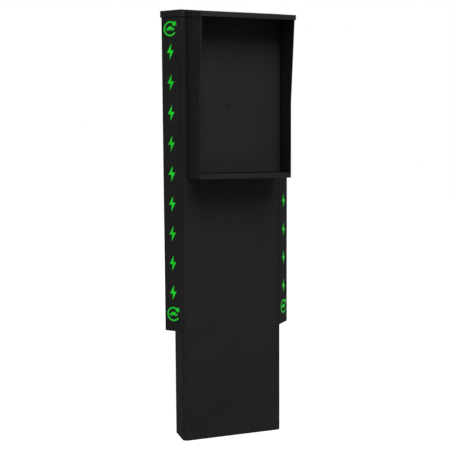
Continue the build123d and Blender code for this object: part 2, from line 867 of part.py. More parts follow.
with BuildPart() as roof_cap:
    with BuildSketch(Plane.XY.offset(roof_block_low)):
        roof_outline(roof_gap + roof_sheet)
    extrude(amount=roof_block_height)
    with BuildSketch(Plane.YZ.offset(-roof_span / 2)):
        roof_section(0.0, rim_front_height, rim_back_height)
    extrude(amount=roof_span, mode=Mode.INTERSECT)
    top_faces = roof_cap.faces().filter_by(lambda face: face.normal_at().Z > 0.9)
    rim_edges = [edge for edge in top_faces.edges() if abs(edge.center().Y - front_face) > 1.0]
    fillet(rim_edges, roof_edge_radius)
    add(roof_cavity.part, mode=Mode.SUBTRACT)
    with BuildSketch(Plane.XZ.offset(-(rear_face + roof_gap + roof_sheet))):
        for x in roof_screw_x:
            with Locations((x, roof_screw_height)):
                Circle(m5_radius + screw_clearance)
    extrude(amount=2 * roof_sheet, mode=Mode.SUBTRACT)
write_piece(roof_cap, "roof_cap")

roof_screw_y = rear_face + roof_gap + roof_sheet
roof_screw_places = []
for x in roof_screw_x:
    roof_screw_places.append(Plane(origin=(x, roof_screw_y, roof_screw_height), z_dir=(0, 1, 0)))
roof_screw_length = roof_gap + roof_sheet + 2 * column_sheet + 2.0
roof_screws = screw_heads(roof_screw_places, m5_radius, roof_screw_length, m5_head_radius, m5_head_height)
write_piece(roof_screws, "roof_screws")

# ================================================================ rear: sill, upper panel, frame
back_inner = rear_face - column_sheet
frame_half = opening_half_width + frame_margin
frame_front = rear_face - column_sheet - frame_depth
frame_low = sill_height - frame_margin
frame_high = door_top + door_gap + frame_margin
seal_half = opening_half_width - door_gap - seal_inset
seal_low = sill_height + door_gap + seal_inset
seal_high = door_top - seal_inset
seal_gap = door_range_clear


def upright_frame(half_x, low, high, thickness, back_y, depth):
    """A rectangular ring standing in the XZ plane, from back_y forward by depth."""
    with BuildSketch(Plane.XZ.offset(-back_y)) as ring:
        with Locations((0, (low + high) / 2)):
            Rectangle(2 * half_x, high - low)
            Rectangle(2 * (half_x - thickness), high - low - 2 * thickness, mode=Mode.SUBTRACT)
    extrude(ring.sketch, amount=depth)


with BuildPart() as rear_sill:
    with Locations((0, rear_face - column_sheet / 2, sill_height / 2)):
        Box(2 * opening_half_width, column_sheet, sill_height)
write_piece(rear_sill, "rear_sill")

with BuildPart() as rear_panel:
    panel_middle = (panel_bottom + column_height) / 2
    with Locations((0, rear_face - column_sheet / 2, panel_middle)):
        Box(2 * (opening_half_width - panel_play), column_sheet, column_height - panel_bottom)
    for side in (-1, 1):
        tab_x = side * (opening_half_width - tab_shift)
        tab_bottom = frame_high + tab_gap
        tab_height = column_height - 2 * column_sheet - tab_bottom
        with Locations((tab_x, back_inner - column_sheet / 2, tab_bottom + tab_height / 2)):
            Box(tab_width, column_sheet, tab_height)
    with BuildSketch(Plane.XZ.offset(-rear_face)):
        for x in roof_screw_x:
            with Locations((x, roof_screw_height)):
                Circle(m5_radius + screw_clearance)
        for height in panel_screw_heights:
            with Locations((-panel_screw_x, height), (panel_screw_x, height)):
                Circle(m4_radius + screw_clearance)
    extrude(amount=3 * column_sheet, mode=Mode.SUBTRACT)
write_piece(rear_panel, "rear_panel")

panel_screw_places = []
for side in (-1, 1):
    for height in panel_screw_heights:
        screw_at = (side * panel_screw_x, rear_face, height)
        panel_screw_places.append(Plane(origin=screw_at, z_dir=(0, 1, 0)))
panel_screw_length = 2 * column_sheet + 1.0
panel_screws = screw_heads(panel_screw_places, m4_radius, panel_screw_length, m4_head_radius, m4_head_height)
write_piece(panel_screws, "panel_screws")

with BuildPart() as door_frame:
    upright_frame(frame_half, frame_low, frame_high, frame_sheet, back_inner, frame_depth)
    land_width = frame_half - seal_half + frame_sheet / 2
    upright_frame(frame_half, frame_low, frame_high, land_width, frame_front + frame_sheet, frame_sheet)
    upstand_depth = rear_face - door_sheet - seal_thickness - seal_gap - frame_front
    upright_frame(
        seal_half + frame_sheet / 2,
        seal_low - frame_sheet / 2,
        seal_high + frame_sheet / 2,
        frame_sheet,
        frame_front + upstand_depth,
        upstand_depth,
    )
write_piece(door_frame, "door_frame")

# ================================================================ service door
door_half = opening_half_width - door_gap
door_low = sill_height + door_gap
pivot_x = -door_half + pivot_inset
pivot_y = rear_face - pivot_depth
door_inner = rear_face - door_sheet

with BuildPart() as rear_door:
    with Locations((0, rear_face - door_return / 2, (door_low + door_top) / 2)):
        Box(2 * door_half, door_return, door_top - door_low)
        inner_height = door_top - door_low - 2 * door_sheet
        Box(2 * (door_half - door_sheet), door_return, inner_height, mode=Mode.SUBTRACT)
    with Locations((0, rear_face - door_sheet / 2, (door_low + door_top) / 2)):
        Box(2 * door_half, door_sheet, door_top - door_low)
    with BuildSketch(Plane.XY.offset(door_low - 1.0)):
        with Locations((pivot_x, pivot_y)):
            Circle(pin_radius + pin_clearance)
    extrude(amount=door_top - door_low + 2.0, mode=Mode.SUBTRACT)
    with BuildSketch(Plane.XZ.offset(-rear_face)):
        for height in lock_heights:
            with Locations((lock_x, height)):
                Circle(lock_radius)
    extrude(amount=door_sheet, mode=Mode.SUBTRACT)
write_piece(rear_door, "rear_door")

with BuildPart() as door_gasket:
    seal_back = rear_face - door_sheet
    upright_frame(
        seal_half + seal_width / 2,
        seal_low - seal_width / 2,
        seal_high + seal_width / 2,
        seal_width,
        seal_back,
        seal_thickness,
    )
write_piece(door_gasket, "door_gasket")

with BuildPart() as door_stiffener:
    stiffener_height = seal_high - seal_low - 4 * seal_width
    stiffener_middle = (stiffener_x, door_inner - stiffener_depth / 2, (seal_low + seal_high) / 2)
    with Locations(stiffener_middle):
        Box(stiffener_width, stiffener_depth, stiffener_height)
        inner_depth = stiffener_depth - 2 * stiffener_sheet
        Box(stiffener_width - 2 * stiffener_sheet, inner_depth, stiffener_height, mode=Mode.SUBTRACT)
    with Locations((stiffener_x, door_inner, (seal_low + seal_high) / 2)):
        open_width = stiffener_width - 2 * stiffener_flange
        Box(open_width, 3 * stiffener_sheet, stiffener_height, mode=Mode.SUBTRACT)
write_piece(door_stiffener, "door_stiffener")

bracket_height = frame_margin - frame_sheet - pin_end_gap
with BuildPart() as hinge_brackets:
    for bottom in (frame_low + frame_sheet, frame_high - frame_sheet - bracket_height):
        with BuildSketch(Plane.XY.offset(bottom)):
            with Locations((pivot_x, back_inner - bracket_depth / 2)):
                Rectangle(bracket_width, bracket_depth)
            with Locations((pivot_x, pivot_y)):
                Circle(pin_radius + pin_clearance, mode=Mode.SUBTRACT)
        extrude(amount=bracket_height)
write_piece(hinge_brackets, "hinge_brackets")

with BuildPart() as hinge_pins:
    for low_end, head_low in (
        (frame_low + frame_sheet + pin_end_gap, door_low + door_sheet),
        (door_top - door_sheet - pin_head, door_top - door_sheet - pin_head),
    ):
        pin_length = bracket_height + door_gap + door_sheet + pin_head - pin_end_gap
        with BuildSketch(Plane.XY.offset(low_end)):
            with Locations((pivot_x, pivot_y)):
                Circle(pin_radius)
        extrude(amount=pin_length)
        with BuildSketch(Plane.XY.offset(head_low)):
            with Locations((pivot_x, pivot_y)):
                Circle(pin_head_radius)
        extrude(amount=pin_head)
write_piece(hinge_pins, "hinge_pins")

# Quarter-turn locks: a fixed barrel in the door, and a core with its cam that turns in it.
cam_back = frame_front - cam_clearance
for lock_name, height in zip(("lower", "upper"), lock_heights):
    lock_plane = Plane(origin=(lock_x, rear_face, height), x_dir=(-1, 0, 0), z_dir=(0, 1, 0))
    barrel_length = rear_face - cam_back - lock_gap
    with BuildPart() as lock_barrel:
        with BuildSketch(lock_plane):
            Circle(lock_radius + lock_flange_width)
        extrude(amount=lock_flange_height)
        fillet(lock_barrel.edges().group_by(Axis.Y)[-1], lock_flange_edge)
        with BuildSketch(lock_plane):
            Circle(lock_radius)
        extrude(amount=-barrel_length)
        with BuildSketch(lock_plane.offset(-door_sheet - lock_nut_height)):
            RegularPolygon(lock_radius + lock_nut_width, 6, major_radius=False)
            Circle(lock_radius, mode=Mode.SUBTRACT)
        extrude(amount=lock_nut_height)
        with BuildSketch(lock_plane.offset(-barrel_length)):
            Circle(core_radius + lock_clearance)
        extrude(amount=barrel_length + lock_flange_height, mode=Mode.SUBTRACT)
    write_piece(lock_barrel, f"lock_barrel_{lock_name}")

    with BuildPart() as lock_core:
        core_end = rear_face - cam_back + cam_thickness + cam_edge
        with BuildSketch(lock_plane.offset(-core_end)):
            Circle(core_radius)
        extrude(amount=core_end + lock_gap)
        with BuildSketch(lock_plane.offset(lock_gap)):
            RegularPolygon(key_radius, 3)
            Circle(key_pin_radius, mode=Mode.SUBTRACT)
        extrude(amount=-key_depth - lock_gap, mode=Mode.SUBTRACT)
    write_piece(lock_core, f"lock_core_{lock_name}")

    with BuildPart() as lock_cam:
        with BuildSketch(lock_plane.offset(-(rear_face - cam_back) - cam_thickness)):
            with Locations((0, cam_length / 2 - core_radius)):
                Rectangle(2 * core_radius + cam_edge, cam_length)
            Circle(core_radius + cam_edge)
            Circle(core_radius, mode=Mode.SUBTRACT)
        extrude(amount=cam_thickness)
    write_piece(lock_cam, f"lock_cam_{lock_name}")

# ================================================================ electrical gear
column_inside = front_face + column_sheet
rail_back = column_inside + rail_spacer
rail_front = rail_back + rail_top

with BuildPart() as rail_spacers:
    for x in (-rail_length / 2 + rail_end_inset, rail_length / 2 - rail_end_inset):
        with BuildSketch(Plane(origin=(x, column_inside, rail_height), z_dir=(0, 1, 0))):
            Circle(spacer_radius)
        extrude(amount=rail_spacer)
write_piece(rail_spacers, "rail_spacers")

with BuildPart() as din_rail:
    with BuildSketch(Plane.YZ.offset(-rail_length / 2)):
        with BuildLine():
            web_y = rail_back + rail_sheet / 2
            lip_y = rail_front - rail_sheet / 2
            FilletPolyline(
                (lip_y, rail_height - rail_width / 2),
                (lip_y, rail_height - rail_web_half),
                (web_y, rail_height - rail_web_half),
                (web_y, rail_height + rail_web_half),
                (lip_y, rail_height + rail_web_half),
                (lip_y, rail_height + rail_width / 2),
                radius=0.8,
            )
        trace(line_width=rail_sheet)
    extrude(amount=rail_length)
write_piece(din_rail, "din_rail")

device_back = rail_front + device_fit
device_shoulder = device_back + device_shoulder_depth
device_nose = device_back + device_nose_depth
toggle_axis_y = device_nose - toggle_sink


def device_profile():
    """Side view of a rail device: a tall body with a narrower nose that faces the door."""
    with BuildLine() as outline:
        Polyline(
            (device_back, rail_height - device_half),
            (device_shoulder, rail_height - device_half),
            (device_shoulder, rail_height - nose_half),
            (device_nose, rail_height - nose_half),
            (device_nose, rail_height + nose_half),
            (device_shoulder, rail_height + nose_half),
            (device_shoulder, rail_height + device_half),
            (device_back, rail_height + device_half),
            close=True,
        )
    make_face(outline.edges())


breaker_left = -rail_length / 2 + first_device_inset
breaker_middle = breaker_left + breaker_width / 2
driver_left = breaker_left + breaker_width + device_gap
terminal_left = driver_left + driver_width + device_gap

with BuildPart() as safety_breaker:
    with BuildSketch(Plane.YZ.offset(breaker_left)):
        device_profile()
    extrude(amount=breaker_width)
    pocket_width = toggle_width + 2 * toggle_play
    with Locations((breaker_middle, toggle_axis_y - 1.0, rail_height)):
        Box(pocket_width, 2 * toggle_hub + 3.0, 2 * toggle_hub + 16.0, mode=Mode.SUBTRACT)
    with BuildSketch(Plane.XZ.offset(-device_shoulder)):
        for pole in (-1.5, -0.5, 0.5, 1.5):
            for height in (rail_height - clamp_row, rail_height + clamp_row):
                with Locations((breaker_middle + pole * pole_pitch, height)):
                    Circle(breaker_hole_radius)
    extrude(amount=clamp_depth, mode=Mode.SUBTRACT)
    for pole in (-1, 0, 1):
        for face_y in (device_shoulder, device_nose):
            with Locations((breaker_middle + pole * pole_pitch, face_y, rail_height)):
                Box(pole_groove, 2 * pole_groove, 2 * device_half, mode=Mode.SUBTRACT)
write_piece(safety_breaker, "safety_breaker")

with BuildPart() as breaker_toggle:
    with BuildSketch(Plane.YZ.offset(breaker_middle - toggle_width / 2)):
        with Locations((toggle_axis_y, rail_height)):
            Circle(toggle_hub)
        with BuildLine():
            Polyline(
                (toggle_axis_y - 2.0, rail_height + 4.0),
                (toggle_axis_y + 4.5, rail_height + 3.0),
                (toggle_axis_y + 11.0, rail_height + 10.5),
                (toggle_axis_y + 8.0, rail_height + 13.0),
                close=True,
            )
        make_face()
    extrude(amount=toggle_width)
write_piece(breaker_toggle, "breaker_toggle")

with BuildPart() as lamp_driver:
    with BuildSketch(Plane.YZ.offset(driver_left)):
        device_profile()
    extrude(amount=driver_width)
    with BuildSketch(Plane.XZ.offset(-device_shoulder)):
        for step in (-1.5, -0.5, 0.5, 1.5):
            for height in (rail_height - clamp_row, rail_height + clamp_row):
                with Locations((driver_left + driver_width / 2 + step * driver_hole_pitch, height)):
                    Circle(driver_hole_radius)
    extrude(amount=clamp_depth, mode=Mode.SUBTRACT)
write_piece(lamp_driver, "lamp_driver")

with BuildPart() as terminal_blocks:
    for k in range(terminal_count):
        block_left = terminal_left + k * (terminal_width + terminal_gap)
        with BuildSketch(Plane.YZ.offset(block_left)):
            with BuildLine():
                Polyline(
                    (device_back, rail_height - 0.8 * terminal_half),
                    (device_back + 0.63 * terminal_depth, rail_height - terminal_half),
                    (device_back + terminal_depth, rail_height - 0.67 * terminal_half),
                    (device_back + terminal_depth, rail_height + 0.67 * terminal_half),
                    (device_back + 0.63 * terminal_depth, rail_height + terminal_half),
                    (device_back, rail_height + 0.8 * terminal_half),
                    close=True,
                )
            make_face()
        extrude(amount=terminal_width)
        with BuildSketch(Plane.XZ.offset(-(device_back + terminal_depth))):
            for height in (rail_height - terminal_row, rail_height + terminal_row):
                with Locations((block_left + terminal_width / 2, height)):
                    Circle(terminal_hole_radius)
        extrude(amount=clamp_depth + 2.0, mode=Mode.SUBTRACT)
write_piece(terminal_blocks, "terminal_blocks")

terminal_right = terminal_left + terminal_count * (terminal_width + terminal_gap)
with BuildPart() as end_clamps:
    for clamp_left in (breaker_left - device_gap - clamp_width, terminal_right + device_gap):
        with BuildSketch(Plane.YZ.offset(clamp_left)):
            with Locations((device_back + clamp_body_depth / 2, rail_height)):
                RectangleRounded(clamp_body_depth, clamp_body_height, clamp_corner)
        extrude(amount=clamp_width)
write_piece(end_clamps, "end_clamps")

# A C-rail and two saddles hold the supply cables above the base plate.
with BuildPart() as cable_rail:
    with BuildSketch(Plane.YZ.offset(-cable_rail_length / 2)):
        with BuildLine():
            web_y = column_inside + cable_rail_sheet / 2
            lip_y = column_inside + cable_rail_depth - cable_rail_sheet / 2
            edge = cable_rail_width / 2 - cable_rail_sheet / 2
            FilletPolyline(
                (lip_y, cable_rail_height - cable_rail_slot / 2),
                (lip_y, cable_rail_height - edge),
                (web_y, cable_rail_height - edge),
                (web_y, cable_rail_height + edge),
                (lip_y, cable_rail_height + edge),
                (lip_y, cable_rail_height + cable_rail_slot / 2),
                radius=0.8 * cable_rail_sheet,
            )
        trace(line_width=cable_rail_sheet)
    extrude(amount=cable_rail_length)
write_piece(cable_rail, "cable_rail")

saddle_base = column_inside + cable_rail_depth
with BuildPart() as cable_saddles:
    for x in (-saddle_x, saddle_x):
        with BuildSketch(Plane.XY.offset(cable_rail_height - saddle_width / 2)):
            with Locations((x, saddle_base + cable_radius)):
                Circle(cable_radius + saddle_sheet)
            with Locations((x, saddle_base + cable_radius / 2)):
                Rectangle(2 * (cable_radius + saddle_sheet), cable_radius)
            with Locations((x, saddle_base + saddle_sheet / 2)):
                Rectangle(2 * (cable_radius + saddle_foot), saddle_sheet)
            with Locations((x, saddle_base + cable_radius)):
                Circle(cable_radius, mode=Mode.SUBTRACT)
            with Locations((x, saddle_base + cable_radius / 2)):
                Rectangle(2 * cable_radius, cable_radius, mode=Mode.SUBTRACT)
            with Locations((x, saddle_base - cable_radius)):
                Rectangle(6 * cable_radius, 2 * cable_radius, mode=Mode.SUBTRACT)
        extrude(amount=saddle_width)
write_piece(cable_saddles, "cable_saddles")
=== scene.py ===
"""The looks of an EV charging post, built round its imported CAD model.

The post is black powder-coated sheet steel with green backlit cut-outs down two slanted light boxes.
Lengths are metres, +Z is up, the hood faces -Y and the service door is on the +Y side.
"""

import json
import math

import bmesh
import bpy
import numpy as np
from mathutils import Matrix, Vector


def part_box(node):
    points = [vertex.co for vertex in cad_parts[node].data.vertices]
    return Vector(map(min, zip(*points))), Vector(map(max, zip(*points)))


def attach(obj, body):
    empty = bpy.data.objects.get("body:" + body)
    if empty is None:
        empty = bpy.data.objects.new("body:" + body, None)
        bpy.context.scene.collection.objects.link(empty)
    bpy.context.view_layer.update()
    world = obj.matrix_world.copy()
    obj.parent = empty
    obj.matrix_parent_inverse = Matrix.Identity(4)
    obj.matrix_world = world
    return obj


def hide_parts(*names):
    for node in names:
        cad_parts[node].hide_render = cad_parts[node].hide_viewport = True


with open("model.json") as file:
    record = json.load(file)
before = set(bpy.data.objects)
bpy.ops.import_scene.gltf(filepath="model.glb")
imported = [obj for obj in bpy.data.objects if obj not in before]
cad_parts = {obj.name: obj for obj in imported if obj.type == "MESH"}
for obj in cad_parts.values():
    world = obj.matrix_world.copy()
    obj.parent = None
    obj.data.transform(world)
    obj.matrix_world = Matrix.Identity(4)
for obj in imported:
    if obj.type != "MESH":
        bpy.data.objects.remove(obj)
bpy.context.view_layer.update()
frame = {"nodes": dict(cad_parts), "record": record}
MM = 0.001

slot_of = {part["node"]: part["material_slot"] for part in frame["record"]["subparts"]}
body_of = {}
for body, members in frame["record"]["behaviour"]["bodies"].items():
    body_of.update(dict.fromkeys(members, body))


# ---------------------------------------------------------------- colour and node helpers
def linear(hex_colour):
    """Turn an sRGB hex colour into linear red, green, blue and alpha."""
    channels = [int(hex_colour[i:i + 2], 16) / 255 for i in (1, 3, 5)]
    return [c / 12.92 if c <= 0.04045 else ((c + 0.055) / 1.055) ** 2.4 for c in channels] + [1.0]


def add_node(tree, kind, sockets=None, links=None, stops=(), **settings):
    """Add one node, set its properties, sockets and colour stops, and link what feeds it."""
    node = tree.nodes.new(kind)
    for key, value in settings.items():
        setattr(node, key, value)
    for key, value in (sockets or {}).items():
        node.inputs[key].default_value = value
    for key, source in (links or {}).items():
        tree.links.new(source, node.inputs[key])
    for k, (position, colour) in enumerate(stops):
        elements = node.color_ramp.elements
        stop = elements[k] if k < len(elements) else elements.new(position)
        stop.position = position
        stop.color = linear(colour)
    return node


def new_material(name, **sockets):
    """A Principled material with uniform values on its own sockets; returns it, its tree and shader."""
    material = bpy.data.materials.new(name)
    material.use_nodes = True
    tree = material.node_tree
    shader = tree.nodes["Principled BSDF"]
    for key, value in sockets.items():
        shader.inputs[key.replace("_", " ")].default_value = value
    return material, tree, shader


# ---------------------------------------------------------------- materials
def black_powder_coat():
    """Matt polyester powder coat baked on sheet steel.

    It gives the eye a soft near-black with no mirror highlight: a fine stipple breaks up reflections,
    a wide orange-peel ripple bends them slightly, and rain splash leaves the foot a little dusty.
    """
    material, tree, shader = new_material("black_powder_coat", IOR=1.5)
    place = add_node(tree, "ShaderNodeTexCoord").outputs["Object"]
    # Each pattern's size in millimetres, its detail and its roughness. Powder stipple is really about
    # 0.4 mm across; it is drawn at 1.4 mm so that close views can show it.
    patterns = {
        "drift": (160, 3.0, 0.5), "dust": (22, 5.0, 0.65), "stipple": (1.4, 2.0, 0.6),
        "wear": (70, 4.0, 0.6), "ripple": (9, 1.0, 0.5),
    }
    noise = {
        name: add_node(
            tree, "ShaderNodeTexNoise",
            {"Scale": 1 / (size * MM), "Detail": detail, "Roughness": roughness},
            {"Vector": place},
        ).outputs["Fac"]
        for name, (size, detail, roughness) in patterns.items()
    }

    # Dust lies in patches that thin out up to the height that rain splashes to.
    splash_height, dust_share = 0.12, 0.16
    height = add_node(tree, "ShaderNodeSeparateXYZ", links={"Vector": place}).outputs["Z"]
    splash = add_node(
        tree, "ShaderNodeMapRange",
        {"From Min": 0.0, "From Max": splash_height, "To Min": 1.0, "To Max": 0.0},
        {"Value": height},
    )
    patches = add_node(
        tree, "ShaderNodeMapRange",
        {"From Min": 0.42, "From Max": 0.7, "To Min": 0.0, "To Max": 1.0},
        {"Value": noise["dust"]},
    )
    splashed = add_node(
        tree, "ShaderNodeMath",
        links={0: splash.outputs["Result"], 1: patches.outputs["Result"]}, operation="MULTIPLY",
    )
    dusty = add_node(
        tree, "ShaderNodeMath", {1: dust_share}, {0: splashed.outputs["Value"]}, operation="MULTIPLY"
    ).outputs["Value"]

    coat = add_node(
        tree, "ShaderNodeValToRGB", links={"Fac": noise["drift"]}, stops=((0.3, "#191a1a"), (0.7, "#202020"))
    )
    colour = add_node(
        tree, "ShaderNodeMix", {"B": linear("#55534f")}, {"Factor": dusty}, data_type="RGBA"
    )
    tree.links.new(coat.outputs["Color"], colour.inputs["A"])
    tree.links.new(colour.outputs["Result"], shader.inputs["Base Color"])

    # The stipple sets the roughness, and handling wear and dust change it a little.
    base = add_node(
        tree, "ShaderNodeMapRange",
        {"From Min": 0.3, "From Max": 0.7, "To Min": 0.62, "To Max": 0.72},
        {"Value": noise["stipple"]},
    )
    worn = add_node(
        tree, "ShaderNodeMapRange",
        {"From Min": 0.3, "From Max": 0.7, "To Min": -0.03, "To Max": 0.05},
        {"Value": noise["wear"]},
    )
    rough = add_node(
        tree, "ShaderNodeMath",
        links={0: base.outputs["Result"], 1: worn.outputs["Result"]}, operation="ADD",
    )
    chalky = add_node(tree, "ShaderNodeMath", {1: 0.3}, {0: dusty}, operation="MULTIPLY")
    dulled = add_node(
        tree, "ShaderNodeMath",
        links={0: rough.outputs["Value"], 1: chalky.outputs["Value"]}, operation="ADD",
    )
    tree.links.new(dulled.outputs["Value"], shader.inputs["Roughness"])

    peel = add_node(
        tree, "ShaderNodeBump", {"Strength": 0.35, "Distance": 0.25 * MM}, {"Height": noise["ripple"]}
    )
    grit = add_node(
        tree, "ShaderNodeBump", {"Strength": 0.45, "Distance": 0.12 * MM},
        {"Height": noise["stipple"], "Normal": peel.outputs["Normal"]},
    )
    tree.links.new(grit.outputs["Normal"], shader.inputs["Normal"])
    return material


def green_acrylic():
    """Cast translucent green acrylic, lit from behind by a lamp strip.

    It glows an even, strong green, slightly brighter in soft bands where the lamp chips sit.
    """
    material, tree, shader = new_material("green_acrylic", IOR=1.49, Roughness=0.3)
    place = add_node(tree, "ShaderNodeTexCoord").outputs["Object"]
    # The bands lie across the strip, 46 mm apart up it and three times as wide.
    banded = add_node(tree, "ShaderNodeMapping", {"Scale": (0.3, 0.3, 1)}, {"Vector": place})
    light = add_node(
        tree, "ShaderNodeTexNoise",
        {"Scale": 1 / (46 * MM), "Detail": 1.0, "Roughness": 0.4},
        {"Vector": banded.outputs["Vector"]},
    )
    bands = add_node(
        tree, "ShaderNodeMapRange",
        {"From Min": 0.3, "From Max": 0.7, "To Min": 0.0, "To Max": 1.0},
        {"Value": light.outputs["Fac"]},
    ).outputs["Result"]
    colours = {"Base Color": ("#0c7a18", "#0f881e"), "Emission Color": ("#10ac1e", "#18bc28")}
    for socket, (dim, bright) in colours.items():
        ramp = add_node(
            tree, "ShaderNodeValToRGB", links={"Fac": bands}, stops=((0.0, dim), (1.0, bright))
        )
        tree.links.new(ramp.outputs["Color"], shader.inputs[socket])
    shader.inputs["Emission Strength"].default_value = 1.0
    return material


def grained(name, low, high, size, roughness, metallic=0.0, ior=1.5, depth=0.02, stretch=(1, 1, 1)):
    """A finish with slight drift in colour and a fine surface grain of the given size."""
    material, tree, shader = new_material(name, Metallic=metallic, IOR=ior)
    place = add_node(tree, "ShaderNodeTexCoord").outputs["Object"]
    drawn = add_node(tree, "ShaderNodeMapping", {"Scale": stretch}, {"Vector": place})
    fine = add_node(
        tree, "ShaderNodeTexNoise",
        {"Scale": 1 / size, "Detail": 3.0, "Roughness": 0.55}, {"Vector": drawn.outputs["Vector"]},
    ).outputs["Fac"]
    wide = add_node(
        tree, "ShaderNodeTexNoise",
        {"Scale": 1 / (30 * size), "Detail": 3.0, "Roughness": 0.6}, {"Vector": place},
    ).outputs["Fac"]
    both = add_node(tree, "ShaderNodeMath", links={0: fine, 1: wide}, operation="ADD")
    mixed = add_node(
        tree, "ShaderNodeMath", {1: 0.5}, {0: both.outputs["Value"]}, operation="MULTIPLY"
    ).outputs["Value"]
    colour = add_node(
        tree, "ShaderNodeValToRGB", links={"Fac": mixed}, stops=((0.35, low), (0.65, high))
    )
    rough = add_node(
        tree, "ShaderNodeMapRange",
        {"From Min": 0.35, "From Max": 0.65, "To Min": roughness - 0.07, "To Max": roughness + 0.07},
        {"Value": mixed},
    )
    pits = add_node(tree, "ShaderNodeBump", {"Strength": 0.4, "Distance": depth * MM}, {"Height": fine})
    tree.links.new(colour.outputs["Color"], shader.inputs["Base Color"])
    tree.links.new(rough.outputs["Result"], shader.inputs["Roughness"])
    tree.links.new(pits.outputs["Normal"], shader.inputs["Normal"])
    return material


def terminal_polyamide():
    """Moulded polyamide rail terminals: grey for the lines, blue for neutral and yellow-green for earth."""
    material, tree, shader = new_material("terminal_grey", IOR=1.53)
    low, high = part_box("terminal_blocks")
    place = add_node(tree, "ShaderNodeTexCoord").outputs["Object"]
    across = add_node(tree, "ShaderNodeSeparateXYZ", links={"Vector": place}).outputs["X"]
    order = add_node(
        tree, "ShaderNodeMapRange",
        {"From Min": low[0], "From Max": high[0], "To Min": 0.0, "To Max": 1.0},
        {"Value": across},
    )
    line, neutral, earth = "#8a8e90", "#3f6ea8", "#a5b52a"
    kinds = (line, line, line, neutral, earth, earth, line)
    ramp = add_node(
        tree, "ShaderNodeValToRGB", links={"Fac": order.outputs["Result"]},
        stops=[(k / len(kinds), kind) for k, kind in enumerate(kinds)],
    )
    ramp.color_ramp.interpolation = "CONSTANT"
    fine = add_node(
        tree, "ShaderNodeTexNoise",
        {"Scale": 1 / (0.8 * MM), "Detail": 3.0, "Roughness": 0.5}, {"Vector": place},
    ).outputs["Fac"]
    rough = add_node(
        tree, "ShaderNodeMapRange",
        {"From Min": 0.3, "From Max": 0.7, "To Min": 0.42, "To Max": 0.56},
        {"Value": fine},
    )
    pits = add_node(tree, "ShaderNodeBump", {"Strength": 0.4, "Distance": 0.02 * MM}, {"Height": fine})
    tree.links.new(ramp.outputs["Color"], shader.inputs["Base Color"])
    tree.links.new(rough.outputs["Result"], shader.inputs["Roughness"])
    tree.links.new(pits.outputs["Normal"], shader.inputs["Normal"])
    return material


FINISHES = {
    "black_powder_coat": black_powder_coat(),
    "green_acrylic": green_acrylic(),
    # Clear anodised extrusion: silvery, with drawing lines that run up the channel.
    "anodised_aluminium": grained(
        "anodised_aluminium", "#b4b6b8", "#c9cbcd", 2 * MM, 0.36, 1.0, stretch=(4, 4, 0.1)
    ),
    # White solder mask on a lamp board: smooth and faintly glossy.
    "lamp_board": grained("lamp_board", "#e0e0d8", "#f0f0ea", 4 * MM, 0.4),
    # Black-oxide stainless screws: dark, a little shinier than the coat round them.
    "black_screws": grained("black_screws", "#19191a", "#29292b", 0.6 * MM, 0.36, depth=0.01),
    # Bright zinc plate: cool grey with cloudy patches from the bath.
    "zinc_steel": grained("zinc_steel", "#9fa4a8", "#c6cacc", 1.2 * MM, 0.34, 1.0),
    # Moulded EPDM: dull black with a dry, slightly chalky grain.
    "black_rubber": grained("black_rubber", "#141414", "#202020", 0.8 * MM, 0.75),
    # Closed-cell foam strip: dead matt with visible cell pits.
    "foam_rubber": grained("foam_rubber", "#121212", "#262626", 0.7 * MM, 0.92, depth=0.15),
    # Black nylon moulding: satin with fine spark texture.
    "nylon": grained("nylon", "#161617", "#232324", 0.7 * MM, 0.5, ior=1.53),
    # Light grey moulded housing with spark-eroded texture.
    "device_grey": grained("device_grey", "#bfc2c2", "#cdd0cf", 0.6 * MM, 0.52, ior=1.53),
    # Gloss black lever.
    "toggle_black": grained("toggle_black", "#141517", "#1e1f22", 1 * MM, 0.28, ior=1.53, depth=0.005),
    "terminal_grey": terminal_polyamide(),
    # Chromed zinc die casting: bright with faint polishing marks.
    "lock_zinc": grained("lock_zinc", "#bcbcc0", "#d6d6d9", 1.5 * MM, 0.2, 1.0, depth=0.006),
}
TEST_YELLOW = grained("test_yellow", "#d0a51c", "#dbb22a", 1 * MM, 0.4, ior=1.53)
BLANK_LABEL = grained("blank_label", "#dedfdc", "#ebece8", 3 * MM, 0.45, depth=0.004)
CLAMP_STEEL = grained("clamp_steel", "#85888a", "#b4b7b9", 0.6 * MM, 0.38, 1.0)

for node, slot in slot_of.items():
    piece = frame["nodes"][node]
    piece.data.materials.clear()
    piece.data.materials.append(FINISHES[slot])


# ---------------------------------------------------------------- mesh helpers
def new_piece(name, mesh, finish, body, stands_for=()):
    """Put a mesh into the scene as one piece that rides on a body and may stand for CAD nodes."""
    mesh.materials.append(finish)
    piece = bpy.data.objects.new(name, mesh)
    bpy.context.scene.collection.objects.link(piece)
    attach(piece, body)
    if stands_for:
        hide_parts(*stands_for)
    return piece


